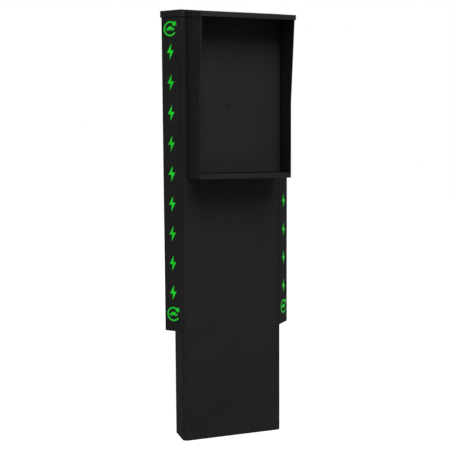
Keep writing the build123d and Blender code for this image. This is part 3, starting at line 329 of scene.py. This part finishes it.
def closed_mesh(name, grids, sharp_angle=35):
    """A mesh from point grids of shape (copies, rows, columns, 3).

    Neighbouring rows and columns make quads and the columns close round on themselves. Points that
    coincide, such as a pole or a repeated first row, are merged, and the faces are turned outwards.
    """
    points, quads, used = [], [], 0
    for grid in grids:
        index = np.arange(grid[..., 0].size).reshape(grid.shape[:3]) + used
        beside = np.roll(index, -1, axis=2)
        corners = [index[:, :-1], beside[:, :-1], beside[:, 1:], index[:, 1:]]
        quads.append(np.stack(corners, axis=-1).reshape(-1, 4))
        points.append(grid.reshape(-1, 3))
        used += index.size
    mesh = bpy.data.meshes.new(name)
    mesh.from_pydata(np.concatenate(points), [], np.concatenate(quads))
    shape = bmesh.new()
    shape.from_mesh(mesh)
    bmesh.ops.remove_doubles(shape, verts=shape.verts, dist=1e-6)
    bmesh.ops.recalc_face_normals(shape, faces=shape.faces)
    shape.to_mesh(mesh)
    shape.free()
    mesh.shade_smooth()
    mesh.set_sharp_from_angle(angle=math.radians(sharp_angle))
    return mesh


def grid_piece(name, grids, slot, stands_for=(), body="post", sharp_angle=35, finish=None):
    """A piece made of point grids, in its slot's finish unless it has one of its own."""
    mesh = closed_mesh(name, grids, sharp_angle)
    return new_piece(name, mesh, finish or FINISHES[slot], body, stands_for)


def round_axis(radius, height, columns=28):
    """Points round +Z: x = radius cos a, y = radius sin a, z = height, for each row of the profile.

    A radius may be one number per row, or a row of numbers for a shape that isn't round.
    """
    angle = np.linspace(0, 2 * np.pi, columns, endpoint=False)
    radius = np.asarray(radius, float)
    radius = radius[:, None] if radius.ndim == 1 else radius
    height = np.asarray(height, float)[:, None]
    x, y, z = np.broadcast_arrays(radius * np.cos(angle), radius * np.sin(angle), height)
    return np.stack([x, y, z], axis=-1)


def placed(shape, origins, normals):
    """Copies of a shape, each with its +Z along a normal and its zero at an origin."""
    origins, up = np.atleast_2d(origins), np.atleast_2d(normals).astype(float)
    up = np.broadcast_to(up / np.linalg.norm(up, axis=1, keepdims=True), origins.shape)
    helper = np.where(np.abs(up[:, 2:]) > 0.9, (1.0, 0.0, 0.0), (0.0, 0.0, 1.0))
    across = np.cross(helper, up)
    across /= np.linalg.norm(across, axis=1, keepdims=True)
    axes = np.stack([across, np.cross(up, across), up], axis=-1)
    return np.einsum("nij,rcj->nrci", axes, shape) + origins[:, None, None, :]


def mesh_arrays(node):
    """A CAD node's points, and its triangles as indices into the distinct points."""
    mesh = frame["nodes"][node].data
    points = np.empty(3 * len(mesh.vertices))
    mesh.vertices.foreach_get("co", points)
    points, same = np.unique(np.round(points.reshape(-1, 3), 6), axis=0, return_inverse=True)
    mesh.calc_loop_triangles()
    corners = np.empty(3 * len(mesh.loop_triangles), int)
    mesh.loop_triangles.foreach_get("vertices", corners)
    return points, same.ravel()[corners].reshape(-1, 3)


def solids_of(node):
    """The points of each separate solid: the lowest label spreads through the faces till it settles."""
    points, triangles = mesh_arrays(node)
    label, before = np.arange(len(points)), None
    while before is None or (label != before).any():
        before = label.copy()
        np.minimum.at(label, triangles.ravel(), np.repeat(label[triangles].min(axis=1), 3))
        label = label[label]
    return [points[label == k] for k in np.unique(label)]


def broadest_normal(node, towards):
    """The outward normal that covers most area of a node, among those that face a direction."""
    points, triangles = mesh_arrays(node)
    a, b, c = (points[triangles[:, k]] for k in range(3))
    area = np.cross(b - a, c - a)
    size = np.linalg.norm(area, axis=1)
    keep = (area @ np.asarray(towards, float)) > 0.2 * size
    area, size = area[keep], size[keep]
    kinds, which = np.unique(np.round(area / size[:, None], 3), axis=0, return_inverse=True)
    return kinds[np.argmax(np.bincount(which.ravel(), weights=size))]


def head_spots(node, normal_for, head_height):
    """Where each screw head, grommet or plug sits: the middle across, and its height below the outer end."""
    origins, normals = [], []
    for points in solids_of(node):
        normal = np.asarray(normal_for(points.mean(axis=0)), float)
        across = np.array([-normal[1], normal[0], 0.0])
        spans = [(points @ axis) for axis in (across, np.array([0, 0, 1.0]))]
        mids = [(span.min() + span.max()) / 2 for span in spans]
        out = (points @ normal).max() - head_height
        origins.append(across * mids[0] + np.array([0, 0, mids[1]]) + normal * out)
        normals.append(normal)
    return np.array(origins), np.array(normals)


def eased(node, width, sharp_angle=32):
    """A merged copy of a CAD node with its sharp edges rounded over by a bevel, standing for it."""
    shape = bmesh.new()
    shape.from_mesh(frame["nodes"][node].data)
    bmesh.ops.remove_doubles(shape, verts=shape.verts, dist=1e-6)
    flat = math.radians(0.5)
    bmesh.ops.dissolve_limit(shape, angle_limit=flat, verts=shape.verts, edges=shape.edges)
    mesh = bpy.data.meshes.new(node + "_eased")
    shape.to_mesh(mesh)
    shape.free()
    mesh.shade_smooth()
    slot = slot_of[node]
    piece = new_piece(node + "_eased", mesh, FINISHES[slot], body_of[node], [node])
    rounding = piece.modifiers.new("edge_rounding", "BEVEL")
    rounding.width = width
    rounding.segments = 2
    rounding.limit_method = "ANGLE"
    rounding.angle_limit = math.radians(sharp_angle)
    # The broad flat faces keep their own normals, so only the narrow rounded edges turn the light.
    flatten = piece.modifiers.new("flat_faces", "WEIGHTED_NORMAL")
    flatten.mode = "FACE_AREA"
    flatten.weight = 100
    flatten.keep_sharp = True


# ---------------------------------------------------------------- sheet metal and mouldings, edges eased
# Sheared and powder-coated sheet keeps about 0.3 to 0.5 mm of roundness on its edges.
SHEET_EDGES = {
    "column_shell": 0.45, "wing_panel_left": 0.3, "wing_panel_right": 0.3, "wing_cover_left": 0.3,
    "wing_cover_right": 0.3, "hood_shell": 0.6, "charger_plate": 0.4, "roof_cap": 0.5, "rear_panel": 0.4,
    "rear_door": 0.4, "rear_sill": 0.4, "door_frame": 0.3, "base_plate": 0.6, "base_gussets": 0.6,
    "wing_floor_left": 0.3, "wing_floor_right": 0.3,
}
MOULDING_EDGES = {
    "safety_breaker": 0.6, "lamp_driver": 0.6, "terminal_blocks": 0.35, "end_clamps": 0.5,
    "breaker_toggle": 0.5, "cable_saddles": 0.5, "hinge_brackets": 0.5, "din_rail": 0.15,
    "cable_rail": 0.3, "door_stiffener": 0.25, "rail_spacers": 0.5, "led_channel_left": 0.2,
    "led_channel_right": 0.2, "icon_diffuser_left": 0.2, "icon_diffuser_right": 0.2,
}
for end in ("lower", "upper"):
    MOULDING_EDGES.update({f"lock_barrel_{end}": 0.3, f"lock_core_{end}": 0.25, f"lock_cam_{end}": 0.4})
for node, width in {**SHEET_EDGES, **MOULDING_EDGES}.items():
    eased(node, width * MM)


# ---------------------------------------------------------------- screws, studs and nuts
# Points round a hexagon: a multiple of six, so that each corner gets one.
HEX_COLUMNS = 36
# Button-head screws: head radius, head height, shank radius and half the socket's width over its corners.
M4_HEAD = (3.8 * MM, 2.2 * MM, 2.0 * MM, 1.35 * MM)
M5_HEAD = (4.75 * MM, 2.6 * MM, 2.5 * MM, 1.7 * MM)


def hexagon(apothem, columns=HEX_COLUMNS):
    """Distance from the middle to a hexagon's side: apothem over the cosine of the angle off its flat."""
    angle = np.linspace(0, 2 * np.pi, columns, endpoint=False)
    return apothem / np.cos(np.mod(angle, np.pi / 3) - np.pi / 6)


def button_head(radius, height, shank, socket, length):
    """A button-head screw: an elliptical dome over a round shank, with a hexagonal socket.

    Up the outside the radius follows r = R cos t and z = H sin t; the socket's wall has a hexagon's
    radius, and the first and last rows shrink to poles.
    """
    turn = np.linspace(0.12, math.acos(1.15 * socket / radius), 7)
    rim = height * math.sin(turn[-1])
    foot = [(0, -length), (0.8 * shank, -length), (shank, -length + 0.2 * shank), (shank, 0)]
    outside = foot + [(0.97 * radius, 0)] + list(zip(radius * np.cos(turn), height * np.sin(turn)))
    wall = hexagon(0.87 * socket)
    radii = [r * np.ones(HEX_COLUMNS) for r, _ in outside]
    radii += [1.04 * wall, wall, wall, 0.02 * wall, 0 * wall]
    heights = [z for _, z in outside]
    heights += [rim + 0.01 * height, rim - 0.1 * height, 0.35 * height, 0.28 * height, 0.28 * height]
    return round_axis(np.array(radii), heights, HEX_COLUMNS)


def screws_for(node, normal_for, head, length):
    """Button-head screws at every place where a CAD node has one."""
    origins, normals = head_spots(node, normal_for, head[1])
    shape = button_head(*head, length)
    grid_piece(node + "_heads", [placed(shape, origins, normals)], slot_of[node], [node], sharp_angle=40)


def box_back(middle):
    """The outward direction of the light box's back cover on the side that a point lies on."""
    side = np.sign(middle[0])
    cover = "wing_cover_left" if side < 0 else "wing_cover_right"
    return broadest_normal(cover, (0.2 * side, 1, 0))


screws_for("cover_screws", box_back, M4_HEAD, 5 * MM)
screws_for("panel_screws", lambda middle: (0, 1, 0), M4_HEAD, 5 * MM)
screws_for("roof_screws", lambda middle: (0, 1, 0), M5_HEAD, 9 * MM)
screws_for("wall_screws", lambda middle: (-np.sign(middle[0]), 0, 0), M5_HEAD, 3 * MM)


def threaded_rod(radius, pitch, length, columns=20):
    """A screw thread: r = R - depth |2 f - 1|, where f is the fraction of z / pitch + angle / turn."""
    rows = int(8 * length / pitch)
    height = np.linspace(0, length, rows)
    turn = np.linspace(0, 1, columns, endpoint=False)
    phase = np.mod(height[:, None] / pitch + turn, 1.0)
    wall = radius - 0.54 * pitch * np.abs(2 * phase - 1)
    wall = np.minimum(wall, radius * 0.72 + np.minimum(height, length - height)[:, None])
    ends = np.zeros((1, columns))
    return round_axis(np.vstack([ends, wall, ends]), np.hstack([0, height, length]), columns)


def hex_nut(apothem, height, bore, columns=HEX_COLUMNS):
    """A nut: a hexagon limited by a cone at both ends, with a bore; the last row repeats the first."""
    limit = apothem * np.array([1.0, 1.13, 1.16, 1.16, 1.13, 1.0])
    outside = np.minimum(hexagon(apothem, columns), limit[:, None])
    levels = height * np.array([0.0, 0.09, 0.14, 0.86, 0.91, 1.0])
    inside = np.full((2, columns), bore)
    radii = np.vstack([inside[:1], outside, inside])
    return round_axis(radii, np.hstack([0, levels, height, 0]), columns)


def flat_washer(outer, thickness, bore, columns=HEX_COLUMNS):
    """A washer: a rectangle with slightly rounded outer corners, carried round its bore."""
    radii = [bore, outer - 0.2 * thickness, outer, outer, outer - 0.2 * thickness, bore, bore]
    levels = thickness * np.array([0, 0, 0.2, 0.8, 1, 1, 0])
    return round_axis(radii, levels, columns)


def front_ends(node):
    """The middle of each solid's front end, and the solids' depth from front to back."""
    corners = [(points.min(axis=0), points.max(axis=0)) for points in solids_of(node)]
    low, high = (np.array(ends) for ends in zip(*corners))
    middle = (low + high) / 2
    return np.stack([middle[:, 0], low[:, 1], middle[:, 2]], axis=-1), (high - low)[0, 1]


to_rear, upwards = (0, 1, 0), (0, 0, 1)

# M6 studs pressed into the plate's feet; the thread starts inside the stud's own flange.
stud_foot, stud_length = front_ends("plate_studs")
stud_start = 1.4 * MM
stud_flange = round_axis(MM * np.array([0, 5.1, 5.1, 4.7, 0]), MM * np.array([0, 0, 1.2, 1.5, 1.5]))
stud_rod = threaded_rod(3 * MM, 1 * MM, stud_length - stud_start)
grid_piece("plate_studs_threaded", [
    placed(stud_flange, stud_foot, to_rear),
    placed(stud_rod, stud_foot + (0, stud_start, 0), to_rear),
], "zinc_steel", ["plate_studs"], sharp_angle=50)

nut_foot, _ = front_ends("plate_nuts")
washer_thickness = 1.2 * MM
grid_piece("plate_nuts_chamfered", [
    placed(flat_washer(6.6 * MM, washer_thickness, 3.05 * MM), nut_foot, to_rear),
    placed(hex_nut(5 * MM, 5 * MM, 3.05 * MM), nut_foot + (0, washer_thickness, 0), to_rear),
], "zinc_steel", ["plate_nuts"])

# The M8 earth stud carries a nut, a washer and a second nut.
earth_low, earth_high = (np.array(corner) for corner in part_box("earth_stud"))
earth_foot = np.array([*(earth_low + earth_high)[:2] / 2, earth_low[2]])
earth_nut = 6.5 * MM
earth_nut_feet = earth_foot + np.array([[0, 0, 0], [0, 0, 2 * earth_nut]])
grid_piece("earth_stud_with_nuts", [
    placed(threaded_rod(4 * MM, 1.25 * MM, 26 * MM), earth_foot, upwards),
    placed(hex_nut(earth_nut, earth_nut, 4.05 * MM), earth_nut_feet, upwards),
    placed(flat_washer(9 * MM, 1.6 * MM, 4.05 * MM), earth_foot + (0, 0, earth_nut + 1.5 * MM), upwards),
], "zinc_steel", ["earth_stud"])


# ---------------------------------------------------------------- rubber: door seal, grommets and plug
def seal_section(width, height, steps=26):
    """A D seal: a flat foot, full sides and a domed top with a shallow crease.

    The section is a superellipse: across = w/2 |cos t|^p and high = h/2 + h/2 |sin t|^p, with a small
    p below the middle, which makes the foot square.
    """
    turn = np.linspace(0, 2 * np.pi, steps, endpoint=False)
    across, high = np.cos(turn), np.sin(turn)
    power = np.where(high > 0, 0.85, 0.3)
    across = width / 2 * np.sign(across) * np.abs(across) ** power
    high = height / 2 * (1 + np.sign(high) * np.abs(high) ** power)
    crease = 0.05 * height * np.exp(-((np.abs(across) - 0.3 * width) / (0.06 * width)) ** 2)
    return across, np.where(high > height / 2, high - crease, high)


def rounded_loop(half_x, half_z, corner, steps=8):
    """Points and outward directions of a rectangle with round corners, in the XZ plane."""
    turn = np.linspace(0, np.pi / 2, steps)
    angle = (turn + np.arange(4)[:, None] * np.pi / 2).ravel()
    outward = np.stack([np.cos(angle), np.sin(angle)], axis=-1)
    signs = np.repeat([[1, 1], [-1, 1], [-1, -1], [1, -1]], steps, axis=0)
    return signs * (half_x - corner, half_z - corner) + corner * outward, outward


seal_low, seal_high = (np.array(corner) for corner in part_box("door_gasket"))
seal_width, seal_corner = 10 * MM, 6 * MM
seal_half = (seal_high - seal_low) / 2 - seal_width / 2
loop, outward = rounded_loop(seal_half[0], seal_half[2], seal_corner)
across, high = seal_section(seal_width, seal_high[1] - seal_low[1])
ring = loop[:, None, :] + outward[:, None, :] * across[None, :, None]
seal = np.stack([ring[..., 0], np.broadcast_to(-high, ring.shape[:2]), ring[..., 1]], axis=-1)
seal += (seal_low + seal_high) / 2 * (1, 0, 1) + (0, seal_high[1], 0)
closed_seal = np.concatenate([seal, seal[:1]])[None]
grid_piece("door_seal", [closed_seal], "foam_rubber", ["door_gasket"], body="door", sharp_angle=60)


def half_round(radius, height, size):
    """The outer edge of a moulded lip: half a circle of a size, whose outermost point is at the radius."""
    turn = np.linspace(-np.pi / 2, np.pi / 2, 7)
    return list(zip(radius - size + size * np.cos(turn), height + size * np.sin(turn)))


def grommets_for(node, hole, sheet, lip, bore, normal_for):
    """Open rubber grommets: half-round lips either side of the groove that holds the sheet."""
    edge = 1 * MM
    rows = [(bore, -sheet - 1.7 * edge), (bore + 0.3 * edge, -sheet - 2 * edge)]
    rows += half_round(hole + lip, -sheet - edge, edge)
    rows += [(hole - 0.1 * MM, -sheet), (hole - 0.1 * MM, 0)]
    rows += half_round(hole + lip, edge, edge)
    rows += [(bore + 0.5 * edge, 2 * edge), (bore, 1.5 * edge)]
    shape = round_axis(*np.array(rows + rows[:1]).T, columns=40)
    grids = [placed(shape, *head_spots(node, normal_for, 2 * edge))]
    grid_piece(node + "_moulded", grids, "black_rubber", [node], sharp_angle=50)


grommets_for("column_grommet", 30 * MM, 2 * MM, 3 * MM, 24 * MM, lambda middle: (0, -1, 0))
grommets_for("wire_grommets", 6 * MM, 2 * MM, 2 * MM, 3.5 * MM, lambda middle: (np.sign(middle[0]), 0, 0))

# The charger plate's hole is closed by a blind plug: a bead sunk in the hole round a rippled membrane
# that is cut through when a cable needs it, and a holding lip behind the sheet.
membrane = np.linspace(10 * MM, 0, 16)
ripple = 0.3 * MM * np.cos(membrane / (2.5 * MM) * 2 * np.pi)
plug_rows = [(0, -3.8 * MM)] + half_round(15 * MM, -2.8 * MM, 1 * MM)
plug_rows += [(11.9 * MM, -1.8 * MM), (11.9 * MM, -0.5 * MM), (11.6 * MM, -0.1 * MM), (11.1 * MM, 0)]
plug_rows += [(10.6 * MM, -0.15 * MM), (10.3 * MM, -0.6 * MM)]
plug_rows += list(zip(membrane, ripple - 1.1 * MM))
plug = round_axis(*np.array(plug_rows).T, columns=40)
plug_spots = head_spots("plate_grommet", lambda middle: (0, -1, 0), 0)
grid_piece(
    "plate_plug_moulded", [placed(plug, *plug_spots)], "black_rubber", ["plate_grommet"], sharp_angle=50
)


# ---------------------------------------------------------------- hinge pins and welds
def chamfered_round(radius, low, high, chamfer):
    """A round bar between two heights with both ends chamfered."""
    radii = [0, radius - chamfer, radius, radius, radius - chamfer, 0]
    return round_axis(radii, [low, low, low + chamfer, high - chamfer, high, high])


pin_collar = 3 * MM
pin_grids = []
for points in solids_of("hinge_pins"):
    low, high = points.min(axis=0), points.max(axis=0)
    foot = np.array([*(low + high)[:2] / 2, low[2]])
    length = high[2] - low[2]
    # The lower pin's collar is at its top and the upper pin's at its bottom, both inside the door.
    start = length - pin_collar if low[2] < 0.5 else 0.0
    pin_grids.append(placed(chamfered_round(4 * MM, 0, length, 0.5 * MM), foot, upwards))
    pin_grids.append(placed(chamfered_round(5.5 * MM, start, start + pin_collar, 0.4 * MM), foot, upwards))
grid_piece("hinge_pins_turned", pin_grids, "zinc_steel", ["hinge_pins"], body="door")


def weld_bead(start, end, size=2.2 * MM, pitch=1.7 * MM, columns=10):
    """A weld: a tube along a seam whose radius swells with |sin(pi s / pitch)| and closes at its ends."""
    start, end = np.asarray(start, float), np.asarray(end, float)
    length = np.linalg.norm(end - start)
    along = np.linspace(0, length, int(length / pitch * 6))
    swell = size * (0.8 + 0.2 * np.abs(np.sin(np.pi * along / pitch)))
    swell *= np.sqrt(np.clip(1 - np.abs(2 * along / length - 1) ** 24, 0, 1))
    return placed(round_axis(swell, along, columns), start, end - start)


beads = []
for points in solids_of("base_gussets"):
    low, high = points.min(axis=0), points.max(axis=0)
    for x in (low[0], high[0]):
        beads.append(weld_bead((x, low[1], low[2] + 3 * MM), (x, low[1], high[2] - 4 * MM)))
        beads.append(weld_bead((x, low[1] + 3 * MM, low[2]), (x, high[1] - 1 * MM, low[2])))
base_low, base_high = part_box("base_plate")
stitch_count, stitch_half = 5, 20 * MM
for k in range(stitch_count):
    x = base_low[0] + (base_high[0] - base_low[0]) * (k + 0.5) / stitch_count
    left_end = (x - stitch_half, base_low[1], base_high[2])
    beads.append(weld_bead(left_end, (x + stitch_half, base_low[1], base_high[2])))
grid_piece("foot_welds", beads, "black_powder_coat", sharp_angle=60)


# ---------------------------------------------------------------- device details
def cross_screw(radius, height, columns=32):
    """A clamp screw's top: a shallow dome with a cross cut into it where |x| or |y| is small."""
    share = np.array([1.0, 0.97, 0.8, 0.6, 0.45, 0.3, 0.15, 0.0])
    angle = np.linspace(0, 2 * np.pi, columns, endpoint=False)
    x, y = share[:, None] * np.cos(angle), share[:, None] * np.sin(angle)
    near = np.minimum(np.abs(x), np.abs(y))
    cut = np.clip((0.2 - near) / 0.08, 0, 1) * (share[:, None] < 0.85)
    z = height * (1 - 0.25 * share[:, None] ** 2 - 0.55 * cut)
    top = np.stack([radius * x, radius * y, z], axis=-1)
    foot = round_axis([0, radius], [0, 0], columns)
    return np.concatenate([foot, top])


def clamp_screws(name, node, count, pitch, row_half, depth, radius):
    """Two rows of clamp screws in a rail device, at a depth from its back, all in millimetres."""
    low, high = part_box(node)
    across = (low[0] + high[0]) / 2 + pitch * MM * (np.arange(count) - (count - 1) / 2)
    x, z = np.meshgrid(across, (low[2] + high[2]) / 2 + row_half * MM * np.array([-1, 1]))
    spots = np.stack([x.ravel(), np.full(x.size, low[1] + depth * MM), z.ravel()], axis=-1)
    grids = [placed(cross_screw(radius * MM, 2.4 * MM), spots, to_rear)]
    grid_piece(name, grids, "zinc_steel", sharp_angle=30, finish=CLAMP_STEEL)


clamp_screws("breaker_clamp_screws", "safety_breaker", 4, 18, 33, 36.5, 3.15)
clamp_screws("driver_clamp_screws", "lamp_driver", 4, 12, 33, 36.5, 2.55)
clamp_screws("terminal_clamp_screws", "terminal_blocks", 7, 6.4, 13, 28.5, 1.95)


def rounded_tile(width, height, thickness, columns=32):
    """A flat tile with round corners and an eased front edge, as rings that shrink to its middle.

    Each ring is a superellipse: x = w/2 |cos t|^0.4 and y = h/2 |sin t|^0.4.
    """
    angle = np.linspace(0, 2 * np.pi, columns, endpoint=False)
    x = np.sign(np.cos(angle)) * np.abs(np.cos(angle)) ** 0.4 * width / 2
    y = np.sign(np.sin(angle)) * np.abs(np.sin(angle)) ** 0.4 * height / 2
    ease = min(0.3 * thickness, 0.3 * MM)
    share = np.array([0.0, 1.0, 1.0, 1 - 2 * ease / width, 0.0])
    levels = np.array([0.0, 0.0, thickness - ease, thickness, thickness])
    z = np.broadcast_to(levels[:, None], (5, columns))
    return np.stack([share[:, None] * x, share[:, None] * y, z], axis=-1)


breaker_low, breaker_high = (np.array(corner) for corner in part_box("safety_breaker"))
driver_low, driver_high = (np.array(corner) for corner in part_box("lamp_driver"))
breaker_front = (breaker_low + breaker_high) / 2 * (1, 0, 1) + breaker_high * (0, 1, 0)
driver_front = breaker_front * (0, 1, 1) + (driver_low + driver_high) / 2 * (1, 0, 0)

button_spot = breaker_front + MM * np.array([24, 0, 4])
button = placed(rounded_tile(8 * MM, 8 * MM, 2 * MM), button_spot, to_rear)
grid_piece("breaker_test_button", [button], "device_grey", finish=TEST_YELLOW)
grid_piece("device_labels", [
    placed(rounded_tile(18 * MM, 30 * MM, 0.3 * MM), breaker_front + MM * np.array([-22, 0, 0]), to_rear),
    placed(rounded_tile(40 * MM, 20 * MM, 0.3 * MM), driver_front + MM * np.array([0, 0, 6]), to_rear),
], "device_grey", finish=BLANK_LABEL)
dome_turn = np.linspace(0, np.pi / 2, 6)
dome_radii = np.hstack([0, 2 * MM * np.cos(dome_turn)])
dome_levels = np.hstack([0, 1.4 * MM * np.sin(dome_turn)])
pilot_dome = round_axis(dome_radii, dome_levels, 20)
pilot_lamp = placed(pilot_dome, driver_front + MM * np.array([15, 0, -12]), to_rear)
grid_piece("driver_pilot_lamp", [pilot_lamp], "green_acrylic")

# ---------------------------------------------------------------- floor, light and camera
bpy.context.scene.view_settings.view_transform = "Standard"
FLOOR_HALF = 30.0
floor_corners = [(x * FLOOR_HALF, y * FLOOR_HALF, 0) for x, y in ((-1, -1), (1, -1), (1, 1), (-1, 1))]
floor_mesh = bpy.data.meshes.new("studio_floor")
floor_mesh.from_pydata(floor_corners, [], [(0, 1, 2, 3)])
studio_floor = bpy.data.objects.new("studio_floor", floor_mesh)
bpy.context.scene.collection.objects.link(studio_floor)
# The floor and sky are lifted to near white for the camera alone, so they don't flood the post with light.
floor_paint, floor_tree, floor_shader = new_material(
    "floor_paint", Base_Color=linear("#a8a8a8"), Roughness=0.9, Emission_Color=(0.93, 0.93, 0.93, 1)
)
floor_rays = add_node(floor_tree, "ShaderNodeLightPath")
floor_tree.links.new(floor_rays.outputs["Is Camera Ray"], floor_shader.inputs["Emission Strength"])
floor_mesh.materials.append(floor_paint)

world = bpy.data.worlds.new("studio")
world.use_nodes = True
sky = world.node_tree
ambient = sky.nodes["Background"]
ambient.inputs["Color"].default_value = (1, 1, 1, 1)
ambient.inputs["Strength"].default_value = 0.155
backdrop = add_node(sky, "ShaderNodeBackground", {"Color": (1, 1, 1, 1), "Strength": 1.0})
sky_rays = add_node(sky, "ShaderNodeLightPath")
sky_mix = add_node(
    sky, "ShaderNodeMixShader",
    links={0: sky_rays.outputs["Is Camera Ray"], 1: ambient.outputs[0], 2: backdrop.outputs[0]},
)
sky.links.new(sky_mix.outputs[0], sky.nodes["World Output"].inputs["Surface"])
bpy.context.scene.world = world


POST_MIDDLE = Vector((0, 0, 0.7))


def soft_light(name, place, size, power):
    """A square area light at a place, turned to the middle of the post."""
    data = bpy.data.lights.new(name, "AREA")
    data.size = size
    data.energy = power
    light = bpy.data.objects.new(name, data)
    turn = (Vector(place) - POST_MIDDLE).to_track_quat("Z", "Y").to_matrix().to_4x4()
    light.matrix_world = Matrix.Translation(place) @ turn
    bpy.context.scene.collection.objects.link(light)


soft_light("key_light", (-0.5, -6.6, 7.0), 5.6, 380)
soft_light("back_light", (2.4, 6.0, 4.2), 3.6, 170)

# The camera stands in front of the post and to its left, at chest height, and looks a little down.
camera_place = (-0.9918, -2.8769, 1.0609)
yaw, pitch, roll = (math.radians(angle) for angle in (18.86, 5.44, -0.37))
forward = Vector((math.sin(yaw) * math.cos(pitch), math.cos(yaw) * math.cos(pitch), -math.sin(pitch)))
level_right = Vector((math.cos(yaw), -math.sin(yaw), 0))
level_up = level_right.cross(forward)
right = level_right * math.cos(roll) + level_up * math.sin(roll)
up = level_up * math.cos(roll) - level_right * math.sin(roll)
camera_data = bpy.data.cameras.new("camera")
camera_data.sensor_width = 36
camera_data.lens = 67.08
camera = bpy.data.objects.new("camera", camera_data)
axes = Matrix((right, up, -forward)).transposed().to_4x4()
camera.matrix_world = Matrix.Translation(camera_place) @ axes
bpy.context.scene.collection.objects.link(camera)
bpy.context.scene.camera = camera
